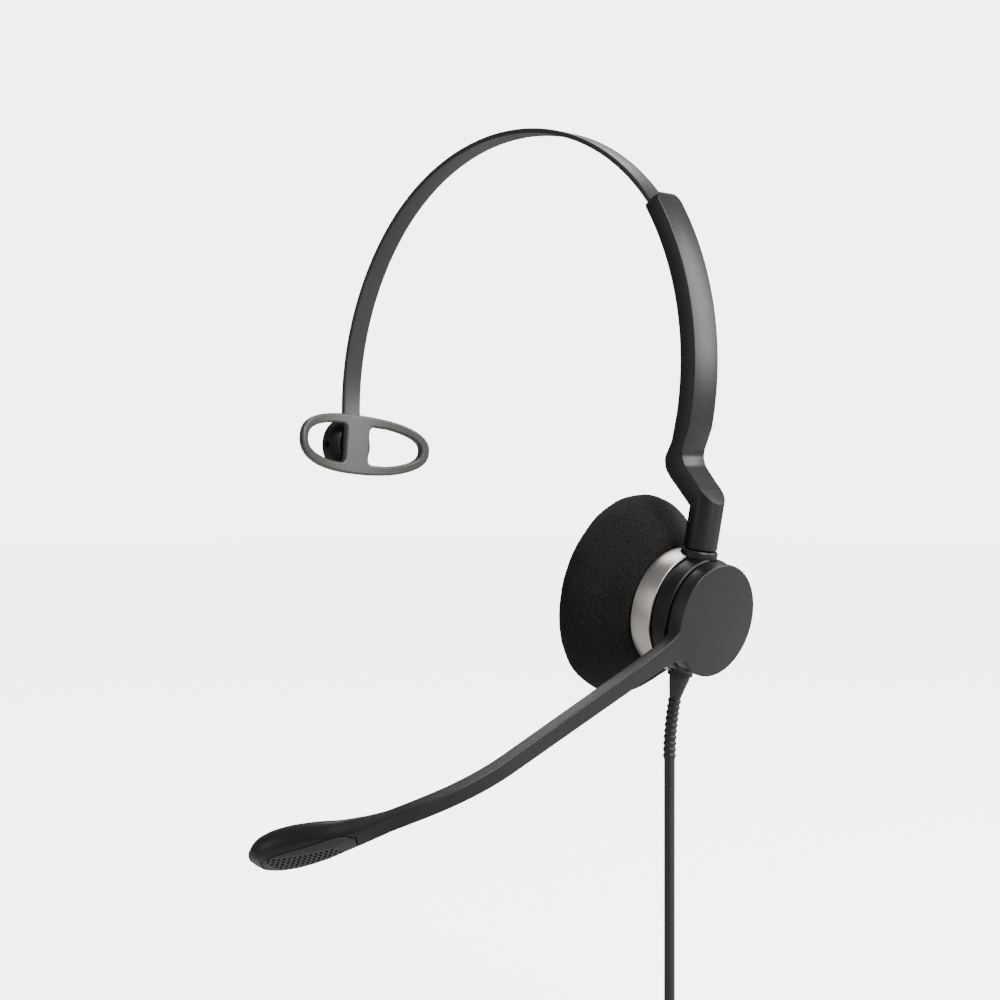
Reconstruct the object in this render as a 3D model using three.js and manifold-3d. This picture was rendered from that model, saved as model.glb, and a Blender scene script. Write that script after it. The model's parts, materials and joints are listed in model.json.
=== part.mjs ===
// Single-ear office headset: a sprung headband with a curved T-bar at one end, and at the other a
// slider arm that carries an on-ear speaker with a swinging microphone boom and a corded plug.
// Millimetres, +Z up. The wearer faces -Y and the ear cup is on the +X side. The origin is the
// underside of the headband's crown, where the band rests on the head.

import * as THREE from 'three';
import { mergeVertices } from 'three/addons/utils/BufferGeometryUtils.js';
import Module from 'manifold-3d';

const wasm = await Module();
wasm.setup();

// ---- Driving dimensions -------------------------------------------------------------------

const GAP = 0.3; // clearance left between pieces that touch on the real headset
const SIDES = 24; // facets round a turned piece

// Headband: a chain of arcs, from the slider end over the crown to the T-bar.
const SLIDE_CENTRE = [-11.8, -70.3]; // x, z of the arc that the slider follows
const SLIDE_RADIUS = 81.25; // middle of the band on that arc
const BAND_START = -11; // degrees above horizontal where the band ends inside the sleeve
const BAND_LEAVES = 24; // degrees where the crown's tighter arcs begin
const CROWN_ARCS = [[50.9, 8.8], [67.4, 40.2], [73.1, 66.8], [83.2, 41.6]]; // radius, degrees turned
const BAND_WIDTH = 7.1;
const BAND_THICKNESS = 1.5;
const CORE_WIDTH = 5.2;
const CORE_THICKNESS = 0.4;
const CORE_CLEARANCE = 0.15;
const BAND_STEP = 4; // degrees between stations along the band

// Slider arm: a box sleeve on the slide arc, a jog outwards and a round post.
const SLEEVE_WIDTH = 10.2;
const SLEEVE_INNER = 79.7;
const SLEEVE_OUTER = 84.8;
const SLEEVE_WALL = 1.3;
const SLEEVE_MOUTH = 33.6; // degrees, upper end of the sleeve
const CHANNEL_TOP = 31.6;
const LINER_TOP = 28.4;
const CHANNEL_BOTTOM = -16.5;
const POST_RADIUS = 4.6;
const POST_SHOULDER = 17.95; // height of the post's shoulder above the cup's axis
const JOURNAL_RADIUS = 3;
const JOURNAL_END = 7.2;

// Ear cup: pieces stacked inwards from the boom hub's flat face.
const CUP_FACE = [76.8, 0, -140.9]; // centre of the hub's flat face
const CUP_LEAN = 11.5; // degrees that the cup faces down, and that the post leans in
const POST_DEPTH = 9.8; // distance of the post's axis behind the hub's face
const HUB_RADIUS = 15.5;
const HUB_DEPTH = 4.4;
const HOUSING_RADIUS = 16;
const RING_RADIUS = 16.7;
const RING_START = 9.9;
const RING_END = 16.6;
const COLLAR_RADIUS = 4.98;
const COLLAR_TOP = 17.6;
const COLLAR_BOTTOM = 13;
const GLAND_RADIUS = 3.5;
const CUSHION_RADIUS = 28.5;
const CUSHION_FRONT = 36.4; // distance of the cushion's front face behind the hub's face
const CUSHION_OVAL = 0.94; // the foam is a little narrower from front to back than it is tall

// Boom: a flat bar that runs straight, then bends in towards the mouth, and ends in a pod.
const BOOM_DROOP = 24.6; // degrees below horizontal
const BOOM_STRAIGHT = 78.5;
const BOOM_BEND_RADIUS = 62;
const BOOM_BEND = 46; // degrees
const BOOM_LENGTH = 147;
const BOOM_SAG_START = 106; // where the bar starts to dip below its straight line
const BOOM_SAG = 0.11; // drop per millimetre past that
const POD_ROLL = 24; // degrees that the pod's outer face is turned down
const BAR_HALF_THICKNESS = 1.7;
const POCKET_START = 120.5;
const POCKET_END = 144;
const POCKET_HALF_HEIGHT = 4.2;
const LEAD_CHANNEL = 1.4;

// T-bar: an oval loop with a central bar, curved round the head.
const TBAR_CENTRE = [-71.9, 0, -90.3];
const TBAR_HALF_LENGTH = 27.2;
const TBAR_HALF_HEIGHT = 9.7;
const TBAR_RIM = 3.1;
const TBAR_BAR_FRONT = 5.6; // from the middle of the bar to the front window
const TBAR_BAR_BACK = 4.3; // from the middle of the bar to the back window
const TBAR_THICKNESS = 2.4;
const TBAR_CURVE = 80;
const TBAR_TILT = 4.5; // degrees, front end up
const KNUCKLE = [-76.6, -90.2]; // x, z of the T-bar's pin
const BOSS_RADIUS = 8.9;

// Cord, its coil and its plug.
const CORD_DIAMETER = 3;
const RELIEF_LENGTH = 23.5; // along the ribbed tail that leaves the gland
const FLOOR = -269.5; // the surface that the put-away cord lies on
const COIL_RADIUS = 16.5; // middle of the turns
const COIL_WIDTH = 9.2;
const COIL_BOTTOM = FLOOR + 0.7;
const COIL_TOP = COIL_BOTTOM + 9.2;
const CORD_X = 60; // where the cord hangs
const COIL_X = CORD_X - COIL_RADIUS;
const PLUG_Y = -19.5;
const PLUG_BACK = 15.7;
const PLUG_LENGTH = 40;
const PLUG_WIDTH = 13;
const PLUG_HEIGHT = 9;

const radians = THREE.MathUtils.degToRad;

// ---- Making and joining solids ------------------------------------------------------------

// Keeps only the positions, shares the vertices, and turns the faces outwards.
function closed(geometry) {
  const bare = geometry.clone();
  for (const name of Object.keys(bare.attributes)) {
    if (name !== 'position') bare.deleteAttribute(name);
  }
  const merged = mergeVertices(bare, 1e-4);
  const place = merged.attributes.position;
  const [a, b, c] = [new THREE.Vector3(), new THREE.Vector3(), new THREE.Vector3()];
  const corners = [];
  let volume = 0;
  for (let i = 0; i < merged.index.count; i += 3) {
    const face = [0, 1, 2].map((k) => merged.index.getX(i + k));
    if (new Set(face).size < 3) continue;
    corners.push(...face);
    a.fromBufferAttribute(place, face[0]);
    b.fromBufferAttribute(place, face[1]);
    c.fromBufferAttribute(place, face[2]);
    volume += a.dot(b.cross(c));
  }
  if (volume < 0) corners.reverse();
  merged.setIndex(new THREE.BufferAttribute(new Uint32Array(corners), 1));
  return merged;
}

function solid(geometry) {
  const ready = closed(geometry);
  return new wasm.Manifold(new wasm.Mesh({
    numProp: 3,
    vertProperties: ready.attributes.position.array,
    triVerts: ready.index.array,
  }));
}

function geometryOf(manifold) {
  const mesh = manifold.getMesh();
  const geometry = new THREE.BufferGeometry();
  geometry.setAttribute('position', new THREE.BufferAttribute(mesh.vertProperties, 3));
  geometry.setIndex(new THREE.BufferAttribute(mesh.triVerts, 1));
  return geometry;
}

function cut(base, ...tools) {
  return geometryOf(tools.reduce((left, tool) => left.subtract(solid(tool)), solid(base)));
}

function join(...pieces) {
  return geometryOf(pieces.slice(1).reduce((sum, next) => sum.add(solid(next)), solid(pieces[0])));
}

// A prism from an outline of [x, z] points, between two values of y.
function prism(outline, low, high) {
  const shape = new THREE.Shape(outline.map(([x, z]) => new THREE.Vector2(x, z)));
  const geometry = new THREE.ExtrudeGeometry(shape, { depth: high - low, bevelEnabled: false });
  return geometry.rotateX(Math.PI / 2).translate(0, high, 0);
}

function block(x0, x1, y0, y1, z0, z1) {
  return new THREE.BoxGeometry(x1 - x0, y1 - y0, z1 - z0)
    .translate((x0 + x1) / 2, (y0 + y1) / 2, (z0 + z1) / 2);
}

// Revolves [radius, depth] points about the cup's axis; depth runs inwards from the hub's face.
function turned(profile, closes = false, sides = SIDES) {
  const points = profile.map(([r, depth]) => new THREE.Vector2(r, -depth));
  if (closes) points.push(points[0].clone());
  return new THREE.LatheGeometry(points, sides);
}

// Revolves [radius, height] points about an upright axis, a given depth into the cup.
function upright(profile, closes = false, depth = POST_DEPTH, sides = 20) {
  const points = profile.map(([r, height]) => new THREE.Vector2(r, height));
  if (closes) points.push(points[0].clone());
  return new THREE.LatheGeometry(points, sides).rotateX(Math.PI / 2).translate(0, -depth, 0);
}

// Joins rings of points into a closed skin with a fan over each end.
function loft(rings) {
  const sides = rings[0].length;
  const middle = (ring) => ring.reduce((sum, p) => sum.add(p), new THREE.Vector3())
    .divideScalar(sides);
  const points = [...rings.flat(), middle(rings[0]), middle(rings.at(-1))];
  const faces = [];
  for (let i = 0; i + 1 < rings.length; i++) {
    for (let j = 0; j < sides; j++) {
      const [p, q] = [i * sides + j, i * sides + (j + 1) % sides];
      faces.push(p, q, q + sides, p, q + sides, p + sides);
    }
  }
  const last = (rings.length - 1) * sides;
  for (let j = 0; j < sides; j++) {
    const next = (j + 1) % sides;
    faces.push(points.length - 2, next, j, points.length - 1, last + j, last + next);
  }
  const geometry = new THREE.BufferGeometry().setFromPoints(points);
  geometry.setIndex(faces);
  return geometry;
}

const headset = new THREE.Group();

function add(parent, name, geometry, colour, roughness = 0.6, metalness = 0) {
  const material = new THREE.MeshStandardMaterial({ color: colour, roughness, metalness });
  const mesh = new THREE.Mesh(closed(geometry), material);
  mesh.name = name;
  parent.add(mesh);
}

const PLASTIC = 0x44423d;
const BLACK = 0x1c1c1a;
const STEEL = 0x9a9a9c;
const BRASS = 0xb08a4a;

// ---- Headband -----------------------------------------------------------------------------

// Stations [x, z, nx, nz] along the middle of the band; n points away from the head.
function bandLine(from = BAND_START, arcs = CROWN_ARCS) {
  let [cx, cz] = SLIDE_CENTRE;
  let radius = SLIDE_RADIUS;
  let angle = from;
  const line = [];
  for (const [nextRadius, sweep] of [[SLIDE_RADIUS, BAND_LEAVES - from], ...arcs]) {
    cx += (radius - nextRadius) * Math.cos(radians(angle));
    cz += (radius - nextRadius) * Math.sin(radians(angle));
    radius = nextRadius;
    const steps = Math.max(1, Math.round(sweep / BAND_STEP));
    for (let i = line.length ? 1 : 0; i <= steps; i++) {
      const turn = radians(angle + sweep * i / steps);
      const [nx, nz] = [Math.cos(turn), Math.sin(turn)];
      line.push([cx + radius * nx, cz + radius * nz, nx, nz]);
    }
    angle += sweep;
  }
  return line;
}

// A strip of the given width and thickness that follows a line of stations.
function strip(line, width, thickness) {
  const side = (half) => line.map(([x, z, nx, nz]) => [x + half * nx, z + half * nz]);
  const outline = [...side(thickness / 2), ...side(-thickness / 2).reverse()];
  return prism(outline, -width / 2, width / 2);
}

// The part of a ring round the slide arc between two radii and two angles.
function slideSector(inner, outer, low, high, width) {
  const steps = Math.max(1, Math.round((high - low) / BAND_STEP));
  const edge = (r) => Array.from({ length: steps + 1 }, (_, i) => {
    const turn = radians(low + (high - low) * i / steps);
    return [SLIDE_CENTRE[0] + r * Math.cos(turn), SLIDE_CENTRE[1] + r * Math.sin(turn)];
  });
  return prism([...edge(outer), ...edge(inner).reverse()], -width / 2, width / 2);
}

function headband() {
  const line = bandLine();
  const [lastRadius, lastSweep] = CROWN_ARCS.at(-1);
  const slotLine = bandLine(BAND_START - 1, [...CROWN_ARCS.slice(0, -1), [lastRadius, lastSweep + 1]]);
  const slot = strip(slotLine, CORE_WIDTH + 2 * CORE_CLEARANCE, CORE_THICKNESS + 2 * CORE_CLEARANCE);
  add(headset, 'band_strip', cut(strip(line, BAND_WIDTH, BAND_THICKNESS), slot), PLASTIC, 0.45);
  const coreLine = bandLine(BAND_START - 2.5);
  add(headset, 'band_core', strip(coreLine, CORE_WIDTH, CORE_THICKNESS), STEEL, 0.35, 1);

  // The stop on the band's end, which keeps it in the sleeve.
  const stop = slideSector(SLIDE_RADIUS - 0.8, SLIDE_RADIUS + 1.4, BAND_START - 4, BAND_START - 0.3,
    BAND_WIDTH);
  add(headset, 'slide_stop', cut(stop, slot, strip(coreLine, CORE_WIDTH + GAP, 0.7)), BLACK);

  // The tongue on the band's lower end, with the eye that the T-bar's pin runs in.
  const [x, z, nx, nz] = line.at(-1);
  const [px, pz] = KNUCKLE;
  const tongue = prism([
    [x + 0.8 * nx, z + 0.8 * nz - GAP], [x - 0.8 * nx, z - 0.8 * nz - GAP],
    [px + 3, pz + 2], [px + 2.2, pz - 1.6], [px, pz - 2.3], [px - 1.7, pz - 1.6],
    [px - 2.3, pz],
  ], -2.2, 2.2);
  const eye = new THREE.CylinderGeometry(1.1, 1.1, 10, 20).translate(px, 0, pz);
  add(headset, 'band_tongue', cut(tongue, eye), PLASTIC);
}

// ---- T-bar --------------------------------------------------------------------------------

const ovalPoint = (halfLength, halfHeight, turn) => {
  const power = (value) => Math.sign(value) * Math.abs(value) ** (2 / 2.4);
  return new THREE.Vector2(halfLength * power(Math.cos(turn)), halfHeight * power(Math.sin(turn)));
};

// One window of the loop: the inner oval, with two rounded corners beside the central bar.
function tbarWindow(side) {
  const [length, height] = [TBAR_HALF_LENGTH - TBAR_RIM, TBAR_HALF_HEIGHT - TBAR_RIM];
  const oval = Array.from({ length: 15 }, (_, i) => (
    ovalPoint(length, height, radians(66) * (i / 7 - 1))));
  const corner = 1.8;
  const bar = side > 0 ? TBAR_BAR_BACK : TBAR_BAR_FRONT;
  const round = (up, i) => {
    const turn = radians(90 + 30 * i);
    return new THREE.Vector2(bar + corner + corner * Math.cos(turn),
      up * (height - 0.35 - corner + corner * Math.sin(turn)));
  };
  const corners = [...[0, 1, 2, 3].map((i) => round(1, i)), ...[3, 2, 1, 0].map((i) => round(-1, i))];
  return [...oval, ...corners].map((p) => new THREE.Vector2(side * p.x, p.y));
}

function tbar() {
  const group = new THREE.Group();
  const [cx, , cz] = TBAR_CENTRE;
  group.position.set(cx, 0, cz);
  headset.add(group);

  // The outline is drawn with y to the right and z up, then bent towards the head.
  const outline = Array.from({ length: 48 }, (_, i) => (
    ovalPoint(TBAR_HALF_LENGTH, TBAR_HALF_HEIGHT, i / 48 * 2 * Math.PI)));
  const shape = new THREE.Shape(outline);
  shape.holes = [1, -1].map((side) => new THREE.Path(tbarWindow(side)));
  const loop = new THREE.ExtrudeGeometry(shape, { depth: TBAR_THICKNESS, bevelEnabled: false });
  loop.rotateX(Math.PI / 2).rotateZ(Math.PI / 2).rotateX(-radians(TBAR_TILT));
  const place = loop.attributes.position;
  for (let i = 0; i < place.count; i++) {
    const y = place.getY(i);
    place.setX(i, place.getX(i) - TBAR_THICKNESS / 2 + y * y / (2 * TBAR_CURVE));
  }
  add(group, 't_bar_loop', loop, 0x6b675f, 0.45);

  // The round housing behind the central bar, with a slot for the band's tongue.
  const back = TBAR_THICKNESS / 2 + GAP;
  const dome = [[0, back], [6.4, back], [8.1, back + 1.5], [BOSS_RADIUS, back + 2.4],
    [BOSS_RADIUS, back + 5.7], [7.6, back + 7.1], [5, back + 7.8], [0, back + 8]];
  const boss = new THREE.LatheGeometry(dome.map(([r, x]) => new THREE.Vector2(r, x)), 28)
    .rotateZ(Math.PI / 2);
  const [px, pz] = [KNUCKLE[0] - cx, KNUCKLE[1] - cz];
  const slot = block(px - 2.7, px + 3.6, -2.6, 2.6, pz - 4.4, 20);
  const bore = new THREE.CylinderGeometry(1.05, 1.05, 2 * BOSS_RADIUS, 20).translate(px, 0, pz);
  add(group, 't_bar_boss', cut(boss, slot, bore), BLACK);
  const pin = new THREE.CylinderGeometry(1, 1, 14, 20).translate(px, 0, pz);
  add(group, 't_bar_pin', pin, STEEL, 0.3, 1);
}

// ---- Slider arm ---------------------------------------------------------------------------

// A group whose +Y points out of the hub's face and whose +Z runs up the post.
function cupGroup() {
  const group = new THREE.Group();
  const lean = radians(CUP_LEAN);
  const out = new THREE.Vector3(Math.cos(lean), 0, -Math.sin(lean));
  const up = new THREE.Vector3(Math.sin(lean), 0, Math.cos(lean));
  const forward = new THREE.Vector3(0, -1, 0);
  group.applyMatrix4(new THREE.Matrix4().makeBasis(forward, out, up));
  group.position.set(...CUP_FACE);
  headset.add(group);
  group.updateMatrix();
  return group;
}

// The arm's side view below the sleeve: the knee, the jog and the end on the post's axis.
function jogOutline() {
  const edge = (r, low, high) => [0, 1, 2, 3].map((i) => {
    const turn = radians(high + (low - high) * i / 3);
    return [SLIDE_CENTRE[0] + r * Math.cos(turn), SLIDE_CENTRE[1] + r * Math.sin(turn)];
  });
  return [
    ...edge(SLEEVE_OUTER, -12.5, -9), [68.6, -94.3], [68.3, -96.6], [69.1, -98.9],
    [74.9, -106], [73, -112.4], [64, -102.2], [62.5, -99.8], [62.2, -97],
    ...edge(SLEEVE_INNER, -16, -9).reverse(),
  ];
}

function sliderArm(cup) {
  const toArm = cup.matrix;
  const half = SLEEVE_WIDTH / 2;
  const jog = prism(jogOutline(), -half, half);
  const place = jog.attributes.position;
  for (let i = 0; i < place.count; i++) {
    const taper = THREE.MathUtils.clamp((-94 - place.getZ(i)) / 8, 0, 1);
    place.setY(i, place.getY(i) * THREE.MathUtils.lerp(1, POST_RADIUS / half, taper));
  }
  const sleeve = slideSector(SLEEVE_INNER, SLEEVE_OUTER, -10, SLEEVE_MOUTH, SLEEVE_WIDTH);
  const groove = [[2.5, 8.2], [2.5, 9.2]];
  const post = upright([
    [0, JOURNAL_END], [JOURNAL_RADIUS, JOURNAL_END], [JOURNAL_RADIUS, 8.2], ...groove,
    [JOURNAL_RADIUS, 9.2], [JOURNAL_RADIUS, POST_SHOULDER], [POST_RADIUS, POST_SHOULDER],
    [POST_RADIUS, 42], [0, 42],
  ]).applyMatrix4(toArm);
  // The sloping face that trims the top of the post.
  const above = prism([[60.3, -87.2], [69.1, -98.9], [80.1, -112.3], [95, -100], [80, -80]], -12, 12);
  const channelWidth = SLEEVE_WIDTH - 2 * SLEEVE_WALL;
  const channel = slideSector(SLEEVE_INNER - 2, SLEEVE_OUTER - SLEEVE_WALL, CHANNEL_BOTTOM,
    CHANNEL_TOP, channelWidth + 0.4);
  const mouth = slideSector(SLEEVE_INNER - 1, SLIDE_RADIUS + 1, CHANNEL_TOP - 1, SLEEVE_MOUTH + 2,
    channelWidth + 0.4);
  const corners = [1, -1].map((side) => mouthCorner(side));
  const body = join(sleeve, jog, cut(post, above));
  add(headset, 'arm_shell', cut(body, channel, mouth, ...corners), PLASTIC, 0.45);

  const liner = slideSector(SLEEVE_INNER + 0.05, SLIDE_RADIUS - 1.05, CHANNEL_BOTTOM + 0.3,
    LINER_TOP, channelWidth);
  add(headset, 'arm_liner', liner, BLACK, 0.5);
  const spring = slideSector(SLIDE_RADIUS + 1.15, SLIDE_RADIUS + 1.5, 10, 30, 5);
  add(headset, 'detent_spring', spring, STEEL, 0.3, 1);
  const clip = upright([[2.6, 8.4], [3.6, 8.4], [3.6, 9], [2.6, 9]], true);
  add(headset, 'swivel_clip', clip.applyMatrix4(toArm), STEEL, 0.3, 1);
}

// Rounds one corner of the sleeve's mouth, seen from outside.
function mouthCorner(side) {
  const reach = 2.6;
  const shape = new THREE.Shape();
  shape.moveTo(reach, 1);
  shape.lineTo(0, 1);
  shape.lineTo(-1, 1);
  shape.lineTo(-1, -reach);
  shape.lineTo(0, -reach);
  for (let i = 1; i <= 4; i++) {
    const turn = radians(180 - 22.5 * i);
    shape.lineTo(reach + reach * Math.cos(turn), -reach + reach * Math.sin(turn));
  }
  const tool = new THREE.ExtrudeGeometry(shape, { depth: 12, bevelEnabled: false });
  // x becomes the way in from the side, y the way up the sleeve, and z the way out of the head.
  const turn = radians(SLEEVE_MOUTH);
  const along = new THREE.Vector3(-Math.sin(turn), 0, Math.cos(turn));
  const out = new THREE.Vector3(Math.cos(turn), 0, Math.sin(turn));
  const across = new THREE.Vector3(0, -side, 0);
  const base = new THREE.Vector3(SLIDE_CENTRE[0], 0, SLIDE_CENTRE[1])
    .addScaledVector(out, SLEEVE_INNER - 4).addScaledVector(across, -SLEEVE_WIDTH / 2);
  return tool.applyMatrix4(new THREE.Matrix4().makeBasis(across, along, out).setPosition(base));
}

// ---- Ear cup ------------------------------------------------------------------------------

const collarHole = () => new THREE.CylinderGeometry(COLLAR_RADIUS + 0.2, COLLAR_RADIUS + 0.2, 12, 24)
  .rotateX(Math.PI / 2).translate(0, -POST_DEPTH, COLLAR_BOTTOM - 0.3 + 6);
const glandHole = () => new THREE.CylinderGeometry(GLAND_RADIUS + 0.2, GLAND_RADIUS + 0.2, 8, 24)
  .rotateX(Math.PI / 2).translate(0, -POST_DEPTH, -16.5);

function housings(cup) {
  const front = turned([
    [3.6, 4.8], [HOUSING_RADIUS - 0.7, 4.8], [HOUSING_RADIUS, 5.4], [HOUSING_RADIUS, 9.6],
    [14.4, 9.6], [14.4, 6.1], [3.6, 6.1],
  ], true);
  add(cup, 'housing_front', cut(front, collarHole(), glandHole()), BLACK, 0.55);
  const ring = turned([
    [15.85, RING_START], [RING_RADIUS, RING_START], [RING_RADIUS, RING_END], [15.85, RING_END],
  ], true, 48);
  add(cup, 'trim_ring', cut(ring, collarHole(), glandHole()), 0xb4aea6, 0.4, 0.9);
  const bowl = turned([
    [15.5, RING_START], [15.5, 18], [22.6, 26], [22.6, 27.4], [21.4, 27.4], [21.4, 26.5],
    [14.2, 18.5], [14.2, RING_START],
  ], true);
  add(cup, 'speaker_bowl', cut(bowl, collarHole(), glandHole()), BLACK, 0.55);
  const collar = upright([
    [3.1, COLLAR_BOTTOM], [COLLAR_RADIUS, COLLAR_BOTTOM], [COLLAR_RADIUS, COLLAR_TOP - 0.4],
    [COLLAR_RADIUS - 0.4, COLLAR_TOP], [3.1, COLLAR_TOP],
  ], true);
  add(cup, 'socket_collar', collar, PLASTIC, 0.45);
  const board = turned([[0, 15.1], [12.5, 15.1], [12.5, 15.9], [0, 15.9]]);
  add(cup, 'terminal_board', board, 0x24402c, 0.5);
}

function speaker(cup) {
  add(cup, 'speaker_yoke', turned([
    [0, 17.4], [7.8, 17.4], [7.8, 21], [7, 21], [7, 18.3], [0, 18.3],
  ]), STEEL, 0.4, 1);
  add(cup, 'speaker_magnet', turned([[0, 18.5], [5.6, 18.5], [5.6, 20.4], [0, 20.4]]), 0x3a3a3c,
    0.5, 0.6);
  add(cup, 'pole_plate', turned([[0, 20.6], [5.8, 20.6], [5.8, 21.3], [0, 21.3]]), STEEL, 0.4, 1);
  add(cup, 'speaker_frame', turned([
    [14.2, 25.8], [15, 25.8], [15, 23.4], [10, 21.2], [8.1, 21.2], [8.1, 22], [9.6, 22],
    [14.2, 24.2],
  ], true), 0x2c2c2e, 0.6);
  add(cup, 'voice_coil', turned([[6.2, 20.1], [6.6, 20.1], [6.6, 23.1], [6.2, 23.1]], true), BRASS,
    0.4, 0.8);
  add(cup, 'diaphragm', turned([
    [0, 24.9], [3.6, 24.6], [6.4, 23.4], [9.4, 24.9], [11.8, 24.9], [14, 25.2], [14, 25],
    [11.8, 24.6], [9.4, 24.6], [6.4, 23.2], [3.6, 24.3], [0, 24.6],
  ]), 0xc8c0a8, 0.4);
  const slots = [0, 60, 120, 180, 240, 300].map((turn) => (
    new THREE.CylinderGeometry(2.4, 2.4, 6, 12).translate(12, -28.2, 0).rotateY(radians(turn))));
  const middle = new THREE.CylinderGeometry(2.4, 2.4, 6, 12).translate(0, -28.2, 0);
  const baffle = turned([[0, 27.7], [22.4, 27.7], [22.4, 28.8], [0, 28.8]]);
  add(cup, 'speaker_baffle', cut(baffle, middle, ...slots), BLACK, 0.6);
  add(cup, 'damping_felt', turned([[0, 29.1], [20, 29.1], [20, 29.6], [0, 29.6]]), 0x303030, 0.95);
}

function cushion(cup) {
  const pad = turned([
    [0, 35], [10, 35.2], [14, CUSHION_FRONT], [23.4, CUSHION_FRONT], [26, 35.6],
    [27.8, 34], [CUSHION_RADIUS, 32], [28.2, 29.8], [26.8, 27.6], [22.9, 22.5], [20, 18.6],
    [18.2, 17], [0, 17],
  ], false, 32).scale(CUSHION_OVAL, 1, 1);
  const seat = turned([
    [0, 16], [15.9, 16], [15.9, 17.7], [22.95, 25.7], [22.95, 29.9], [0, 29.9],
  ], false, 32);
  add(cup, 'foam_cushion', cut(pad, seat), 0x1d1c1a, 0.98);
}

// ---- Boom ---------------------------------------------------------------------------------

// The boom's middle at a length from the hub's axis, with the ways across its flat and up its face.
function boomAt(length) {
  const bend = THREE.MathUtils.clamp(length - BOOM_STRAIGHT, 0, BOOM_BEND_RADIUS * radians(BOOM_BEND));
  const turn = bend / BOOM_BEND_RADIUS;
  const rest = length - Math.min(length, BOOM_STRAIGHT) - bend;
  const [c, s] = [Math.cos(turn), Math.sin(turn)];
  const x = Math.min(length, BOOM_STRAIGHT) + BOOM_BEND_RADIUS * s + rest * c;
  const y = -BAR_HALF_THICKNESS - BOOM_BEND_RADIUS * (1 - c) - rest * s;
  const past = length - BOOM_SAG_START;
  const z = -BOOM_SAG * (past + Math.hypot(past, 6)) / 2;
  const roll = radians(POD_ROLL) * THREE.MathUtils.smoothstep(length, 110, 126);
  const normal = new THREE.Vector3(s * Math.cos(roll), c * Math.cos(roll), -Math.sin(roll));
  const upward = new THREE.Vector3(s * Math.sin(roll), c * Math.sin(roll), Math.cos(roll));
  return { place: new THREE.Vector3(x, y, z), normal, upward };
}

// Straight-line interpolation in a list of [length, value].
function along(table, length) {
  const i = Math.max(1, table.findIndex(([at]) => at >= length));
  const [[x0, y0], [x1, y1]] = [table[i - 1], table[i]];
  return THREE.MathUtils.lerp(y0, y1, THREE.MathUtils.clamp((length - x0) / (x1 - x0), 0, 1));
}

const BOOM_HEIGHTS = [[13, 3.6], [18, 2.8], [30, 2.5], [100, 2.1], [112, 2.05], [117, 2.4],
  [122, 3.5], [127, 4.9], [131.5, 5.7], [136, 6], [140, 5.8], [143.5, 4.9], [145.8, 3.3],
  [BOOM_LENGTH, 1.3]];
const BOOM_THICKNESSES = [[13, BAR_HALF_THICKNESS], [113, BAR_HALF_THICKNESS], [121, 2.7],
  [128, 3.7], [135, 4], [140, 3.8], [144, 3], [BOOM_LENGTH, 1]];

// Rings with rounded corners at a list of lengths along the boom.
function boomSkin(lengths) {
  return loft(lengths.map((length) => {
    const { place, normal, upward } = boomAt(length);
    const half = along(BOOM_THICKNESSES, length);
    const tall = along(BOOM_HEIGHTS, length);
    return Array.from({ length: 12 }, (_, i) => {
      const turn = (i + 0.5) / 12 * 2 * Math.PI;
      const soft = (value) => Math.sign(value) * Math.abs(value) ** 0.55;
      return place.clone().addScaledVector(normal, half * soft(Math.cos(turn)))
        .addScaledVector(upward, tall * soft(Math.sin(turn)));
    });
  }));
}

// A plate that follows the boom between two lengths, from one height off its middle to another.
function boomPlate(low, high, halfHeight, under, over, steps = 10) {
  return loft(Array.from({ length: steps + 1 }, (_, i) => {
    const length = low + (high - low) * i / steps;
    const { place, normal, upward } = boomAt(length);
    const tall = halfHeight(2 * i / steps - 1);
    const at = (off, up) => place.clone().addScaledVector(normal, off).addScaledVector(upward, up);
    return [at(under, -tall), at(over, -tall), at(over, tall), at(under, tall)];
  }));
}

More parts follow.
